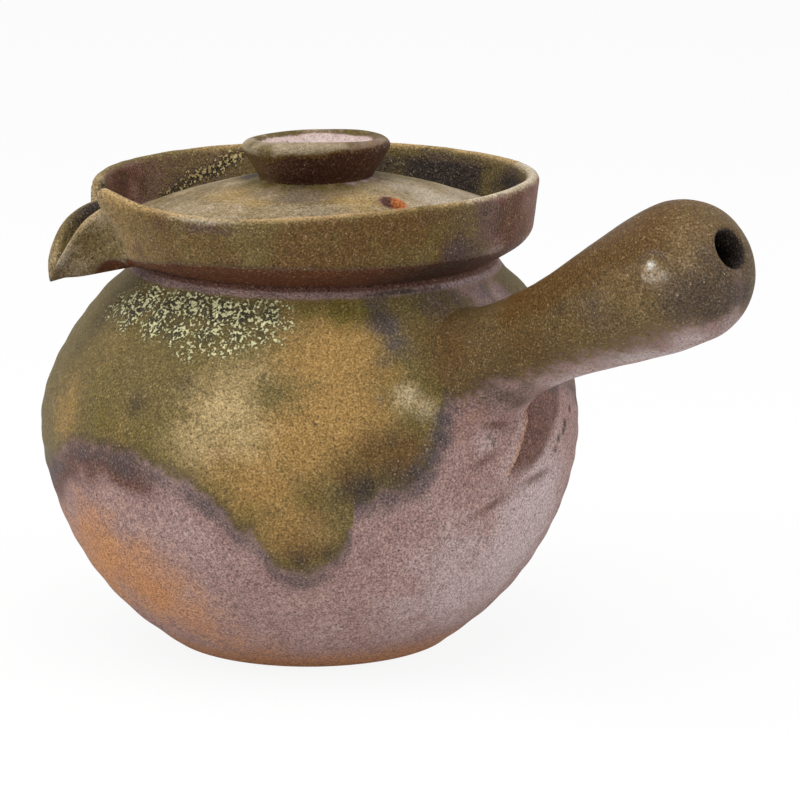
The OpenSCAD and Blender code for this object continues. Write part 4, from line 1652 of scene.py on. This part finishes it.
@dataclass
class Lid(ClayPiece):
    """The low domed lid with its rounded edge and the round steam vent."""

    seat_z: float = field(default_factory=lambda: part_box("lid_dome")[0].z / MM)
    top_z: float = field(default_factory=lambda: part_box("lid_dome")[1].z / MM)
    rim: float = field(default_factory=lambda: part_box("lid_dome")[1].x / MM)
    edge: float = 3.2
    edge_round: float = 1.5
    bulge: float = 0.64
    knob: float = 14.5
    hollow: float = 38.5
    thick: float = 5.0
    vent: float = 2.8
    vent_out: float = 30.2
    vent_azimuth: float = -8.0
    wobble: Wobble = Wobble(0.3, 22.0, 0.12, 6.0)
    patch: float = 8.0
    row: float = 0.8
    steps: int = 400

    @property
    def edge_z(self) -> float:
        """Height of the edge's top."""
        return self.seat_z + self.edge

    @property
    def bulge_z(self) -> float:
        """Height of the corner that the dome is drawn towards."""
        return self.edge_z + self.bulge * (self.top_z - self.edge_z)

    def dome(self) -> np.ndarray:
        """Outline of the top, from under the knob to the edge."""
        corner = ((self.rim + self.knob) / 2.0, self.bulge_z)
        return bend((self.knob, self.top_z), corner, (self.rim - self.edge_round, self.edge_z), 24)

    def height(self, reach: np.ndarray) -> np.ndarray:
        """Height of the top at a distance from the axis."""
        return np.interp(reach, *self.dome().T)

    def outline(self) -> np.ndarray:
        """Outline from the middle of the underside over the edge to the top.

        Returns:
            Radius and height of each row, in mm.
        """
        middle = self.rim - self.edge_round
        edge = arc((middle, self.edge_z - self.edge_round), self.edge_round, 80.0, 0.0, 6)
        low = arc((middle, self.seat_z + self.edge_round), self.edge_round, 0.0, -90.0, 6)
        corner = ((self.hollow + self.knob) / 2.0, self.bulge_z - self.thick)
        under = bend((self.hollow, self.seat_z), corner, (self.knob, self.top_z - self.thick), 24)
        corners = [[[0.0, self.top_z]], self.dome(), edge, low, under, [[0.0, self.top_z - self.thick]]]
        return even_rows(np.vstack(corners)[::-1], self.row)

    def place(self, azimuth: float, reach: float) -> np.ndarray:
        """The point of the top at an azimuth and a distance from the axis."""
        return np.array([*(reach * compass(azimuth)), self.height(reach)])

    def marks(self, points: np.ndarray) -> Marks:
        """What the kiln left on the lid, with painted shade by the knob's foot.

        Args:
            points: Places on the lid, in mm.

        Returns:
            The strength of each mark at each place.
        """
        radius = from_axis(points)
        stray = FIRE.at(points, self.patch, 3)
        marks = self.fired(points, LID_FIRE, stray, 0.4)
        under = ease(self.height(radius) - 2.5 - points[:, 2])
        marks[Mark.ASH] = (1.0 - under) * (1.0 - 0.8 * marks[Mark.PALE_AND_LIGHT])
        front = bump(azimuths(points) + 52.0, 30.0) * ease((radius - 25.0) / 4.0)
        strengthen(marks, Mark.GOLD, 0.35 + 0.3 * stray)
        strengthen(marks, Mark.TAN, 0.3 + 0.3 * stray, 0.5 * front)
        strengthen(marks, Mark.FLAME, 0.45 * under)
        strengthen(marks, Mark.SOOT_AND_SHADE, 0.3 * ease(radius - self.rim + 1.2))
        marks[Mark.HALO] = marks[Mark.HALO] * (1.0 - front)
        return marks

    def build(self) -> bpy.types.Object:
        """Throws the lid, pierces its vent and fires it.

        Returns:
            The lid's object.
        """
        form = Thrown(self.outline(), self.steps)
        vent = self.vent_out * compass(self.vent_azimuth)
        form.cut_hole(vent, self.vent)
        marks = self.marks(form.points)
        away = apart(form.points[:, :2], vent)
        bore = bump(np.maximum(0.0, away - self.vent), 0.7)
        for mark in (Mark.ASH, Mark.HALO, Mark.MOSS, Mark.DROP_AND_HIGHLIGHT):
            marks[mark] = marks[mark] * (1.0 - bore)
        # Painted shade: the vent's wall away from the right takes the iron colour
        shade = ease(0.4 - (form.points[:, :2] - vent) @ compass(RIGHT) / self.vent)
        strengthen(marks, Mark.FLAME, 0.85 * bore)
        strengthen(marks, Mark.IRON_AND_SHADE, bore * shade * (away < self.vent + 0.3))
        relief = self.wobble.at(form.points) * ease((form.points[:, 2] - self.seat_z - 1.0) / 2.0)
        form.points = TILT.laid(LEAN.shifted(form.points + relief[:, None] * UP))
        return self.settle(form.piece(self.name, marks))


@dataclass
class Flange(ClayPiece):
    """The ring under the lid that keeps it from sliding off when the pot is tipped."""

    low_z: float = field(default_factory=lambda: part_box("lid_flange")[0].z / MM)
    high_z: float = field(default_factory=lambda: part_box("lid_flange")[1].z / MM)
    rim: float = field(default_factory=lambda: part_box("lid_flange")[1].x / MM)
    thick: float = 3.0
    lump: float = 0.15
    lump_size: float = 14.0
    patch: float = 8.0
    row: float = 0.9
    steps: int = 240

    def build(self) -> bpy.types.Object:
        """Throws the ring and fires it.

        Returns:
            The flange's object.
        """
        middle = (self.rim - self.thick / 2.0, self.low_z + self.thick / 2.0)
        foot = arc(middle, self.thick / 2.0, -180.0, 0.0, 10)
        top = [[self.rim, self.high_z], [self.rim - self.thick, self.high_z]]
        form = Thrown(even_rows(np.vstack([foot, top]), self.row), self.steps, closed=True)
        stray = FIRE.at(form.points, self.patch, 3)
        relief = self.lump * CLAY.at(form.points, self.lump_size, 2)
        relief *= ease((self.high_z - form.points[:, 2]) / 2.0)
        marks = {mark: np.zeros(len(stray)) for mark in Mark}
        marks[Mark.FLAME] = 0.4 + 0.4 * stray
        marks[Mark.PALE_AND_LIGHT] = 0.3 - 0.3 * stray
        form.points = TILT.laid(LEAN.shifted(form.points + relief[:, None] * form.outward()))
        return self.settle(form.piece(self.name, marks))


@dataclass
class Knob(ClayPiece):
    """The knob: an upturned cone with a bevelled rim round a shallow dish."""

    low_z: float = field(default_factory=lambda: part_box("lid_knob")[0].z / MM)
    top_z: float = field(default_factory=lambda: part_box("lid_knob")[1].z / MM)
    rim: float = field(default_factory=lambda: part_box("lid_knob")[1].x / MM)
    foot: float = 14.7
    bevel: float = 2.4
    crest: float = 1.7
    dish: float = 8.5
    dish_h: float = 5.0
    front_rise: Swell = Swell(-50.0, 1.7, 45.0)
    lump: float = 0.28
    lump_size: float = 16.0
    patch: float = 6.0
    row: float = 0.5
    steps: int = 280

    def outline(self) -> np.ndarray:
        """Outline from under the foot over the rim to the middle of the dish.

        Returns:
            Radius and height of each row, in mm.
        """
        waist_z = self.top_z - self.bevel
        floor_z = self.top_z - self.dish_h
        waist, edge = (self.rim - 0.4, waist_z - 0.5), (self.rim - 0.5, waist_z + 1.2)
        corner = bend(waist, (self.rim + 0.1, waist_z + 0.4), edge, 5)
        brim = (self.rim - 2.0 * self.crest, self.top_z - 0.35)
        crest = bend(corner[-1], (self.rim - self.crest, self.top_z + 0.25), brim, 7)
        dish = bend(brim, (self.dish + 2.4, floor_z), (self.dish - 1.5, floor_z), 10)
        foot = [[0.0, self.low_z - 0.4], [self.foot, self.low_z - 0.4], [self.foot + 0.1, self.low_z + 0.5]]
        return even_rows(np.vstack([foot, corner, crest[1:], dish[1:], [[0.0, floor_z]]]), self.row)

    def build(self) -> bpy.types.Object:
        """Throws the knob and fires it.

        Returns:
            The knob's object.
        """
        form = Thrown(self.outline(), self.steps)
        height = form.points[:, 2]
        stray = FIRE.at(form.points, self.patch, 3)
        peak = int(np.argmax(form.outline[:, 1]))
        past = (form.row - peak) * self.row
        dish = ease((past - 1.2 + 0.8 * stray) / 1.4)
        band = 2.0 + 2.2 * bump(wrapped(form.azimuth + 85.0), 45.0)
        side = ease((-past - band + 0.6 * stray) / 2.0)
        crest = (1.0 - dish) * (1.0 - side)
        left = bump(wrapped(form.azimuth + 135.0), 40.0)
        right = bump(wrapped(form.azimuth - 10.0), 35.0)
        front = bump(form.azimuth + 65.0, 35.0)
        marks = {mark: np.zeros(len(height)) for mark in Mark}
        sprinkle = dish * ease((stray - 0.1) / 0.4)
        marks[Mark.ASH] = crest * (1.0 - 0.5 * right) + 0.8 * side * left + 0.2 * sprinkle
        marks[Mark.GOLD] = crest * (0.4 + 0.4 * front + 0.5 * stray)
        marks[Mark.TAN] = crest * (0.3 + 0.5 * front + 0.5 * stray)
        marks[Mark.MOSS] = np.maximum(0.7 * side * left, 0.5 * crest * ease(0.3 - stray))
        marks[Mark.SOOT_AND_SHADE] = side * (0.32 - 0.3 * right - 0.2 * left)
        skirt = ease((-past - band + 0.6 * stray + 0.6) / 1.4)
        marks[Mark.IRON_AND_SHADE] = np.maximum(skirt * (1.0 - 0.5 * left), 0.5 * crest * right)
        marks[Mark.PALE_AND_LIGHT] = dish * (0.8 + 0.3 * stray)
        marks[Mark.FLAME] = dish * 0.35 * ease((stray + 0.3) / 0.5) * left
        relief = self.lump * CLAY.at(form.points, self.lump_size, 2) * ease((height - self.low_z) / 2.0)
        moved = form.points + relief[:, None] * form.outward()
        moved[:, 2] += self.front_rise.at(form.azimuth) * ease((height - self.low_z - 2.0) / 7.0)
        form.points = TILT.laid(LEAN.shifted(moved))
        return self.settle(form.piece(self.name, marks))


@dataclass(frozen=True)
class Lamp:
    """A soft square lamp: where it hangs and its side, in metres, and its power in watts."""

    name: str
    place: tuple[float, float, float]
    side: float
    power: float


@dataclass
class Studio:
    """A pale floor, soft light and the camera at the photograph's angle."""

    lamps: tuple[Lamp, ...] = (
        Lamp("top_lamp", (0.1, -0.35, 1.3), 1.1, 9.0),
        Lamp("left_lamp", (-0.55, -0.95, 0.8), 0.8, 5.0),
        Lamp("right_lamp", (1.1, 0.35, 0.6), 0.8, 4.0),
    )
    lit: tuple[float, float, float] = (0.03, 0.0, 0.06)
    floor_side: float = 9.0
    floor_z: float = -0.0004
    floor_white: float = 0.9
    floor_colour: tuple[float, float, float, float] = (0.85, 0.85, 0.85, 1.0)
    light_colour: tuple[float, float, float, float] = (1.0, 1.0, 1.0, 1.0)
    world_level: float = 0.62
    camera_at: tuple[float, float, float] = (0.6737, -0.7394, 0.2856)
    camera_tilt: float = 77.4
    camera_turn: float = RIGHT
    lens: float = 177.03
    sensor: float = 36.0
    view_depth: float = 50.0

    def floor(self) -> bpy.types.Object:
        """Lays the floor, white to the camera apart from part of the shadow.

        Returns:
            The floor's object.
        """
        mesh = bmesh.new()
        bmesh.ops.create_grid(mesh, x_segments=1, y_segments=1, size=self.floor_side / 2.0)
        data = bpy.data.meshes.new("floor")
        mesh.to_mesh(data)
        mesh.free()
        made = placed("floor", data)
        made.location.z = self.floor_z
        graph = Graph("pale_floor")
        paper = graph.wire("ShaderNodeBsdfDiffuse", "BSDF", None, {"Color": self.floor_colour})
        glow = graph.wire("ShaderNodeEmission", "Emission", None, {"Color": self.light_colour})
        path = graph.node("ShaderNodeLightPath")
        seen = Wire(graph, path.outputs["Is Camera Ray"]) + Wire(graph, path.outputs["Is Glossy Ray"])
        share = (seen + Wire(graph, path.outputs["Is Transmission Ray"])).clamped() * self.floor_white
        mixed = graph.wire("ShaderNodeMixShader", "Shader", None, {0: share, 1: paper, 2: glow})
        data.materials.append(graph.finished(mixed))
        return made

    def hang(self, lamp: Lamp) -> None:
        """Hangs a lamp that looks at the pot.

        Args:
            lamp: The lamp's place, size and strength.
        """
        data = bpy.data.lights.new(lamp.name, "AREA")
        data.shape = "SQUARE"
        data.size = lamp.side
        data.energy = lamp.power
        made = placed(lamp.name, data)
        made.location = lamp.place
        made.rotation_euler = (Vector(self.lit) - Vector(lamp.place)).to_track_quat("-Z", "Y").to_euler()

    def build(self) -> None:
        """Sets up the floor, the lamps, the world and the camera."""
        scene = bpy.context.scene
        self.floor()
        for lamp in self.lamps:
            self.hang(lamp)
        world = bpy.data.worlds.new("soft_room")
        world.use_nodes = True
        sky = world.node_tree.nodes["Background"].inputs
        sky["Color"].default_value = self.light_colour
        sky["Strength"].default_value = self.world_level
        scene.world = world
        data = bpy.data.cameras.new("camera")
        data.sensor_width = self.sensor
        data.lens = self.lens
        data.clip_end = self.view_depth
        camera = placed("camera", data)
        camera.location = self.camera_at
        camera.rotation_euler = (math.radians(self.camera_tilt), 0.0, math.radians(self.camera_turn))
        scene.camera = camera
        scene.view_settings.view_transform = "Standard"


def main() -> None:
    """Builds the pieces in order and reports each one."""
    logging.basicConfig(level=logging.INFO, format="%(message)s")
    Studio().build()
    belly = Belly("fired_belly", "pot", ("pot_bowl", "pot_shoulder"), "raw_clay", FiredClay("belly_clay"))
    belly.build()
    lid_clay = FiredClay(
        "lid_clay", ash_green=(112, 95, 60), ash_gold=(155, 127, 74), ash_tan=(169, 153, 130),
        halo_and_shade=(104, 90, 82), ash_moss=(98, 84, 36), flame=(188, 112, 60),
    )
    knob_clay = FiredClay(
        "knob_clay", ash_green=(88, 72, 40), ash_gold=(124, 106, 72), ash_tan=(156, 140, 114),
        iron_and_shade=(72, 43, 29), lilac_and_light=(198, 178, 172), body=(180, 152, 146), body_deep=(152, 120, 112),
        speckle=1.3,
    )
    collar_clay = FiredClay(
        "collar_clay", body=(150, 116, 106), body_deep=(116, 82, 74), lilac_and_light=(166, 144, 136),
        halo_and_shade=(84, 66, 60), iron_and_shade=(92, 54, 34), ash_tan=(184, 152, 106), crust_pale=(170, 152, 104),
        crust_dark=(48, 42, 36),
    )
    handle_clay = FiredClay(
        "handle_clay", ash_green=(98, 78, 46), ash_gold=(126, 99, 60), ash_tan=(142, 119, 90),
        halo_and_shade=(84, 70, 61), ash_brown=(92, 65, 28), lilac_and_light=(178, 164, 162),
    )
    Collar("fired_collar", "pot", ("gallery_collar", "pouring_lip"), "ash_clay", collar_clay).build()
    Handle("fired_handle", "pot", ("side_handle", "handle_luting"), "ash_clay", handle_clay, belly).build()
    Lid("fired_lid", "lid", ("lid_dome",), "ash_clay", lid_clay).build()
    Flange("fired_flange", "lid", ("lid_flange",), "raw_clay", FiredClay("flange_clay")).build()
    Knob("fired_knob", "lid", ("lid_knob",), "dark_clay", knob_clay).build()


if __name__ == "__main__":
    main()
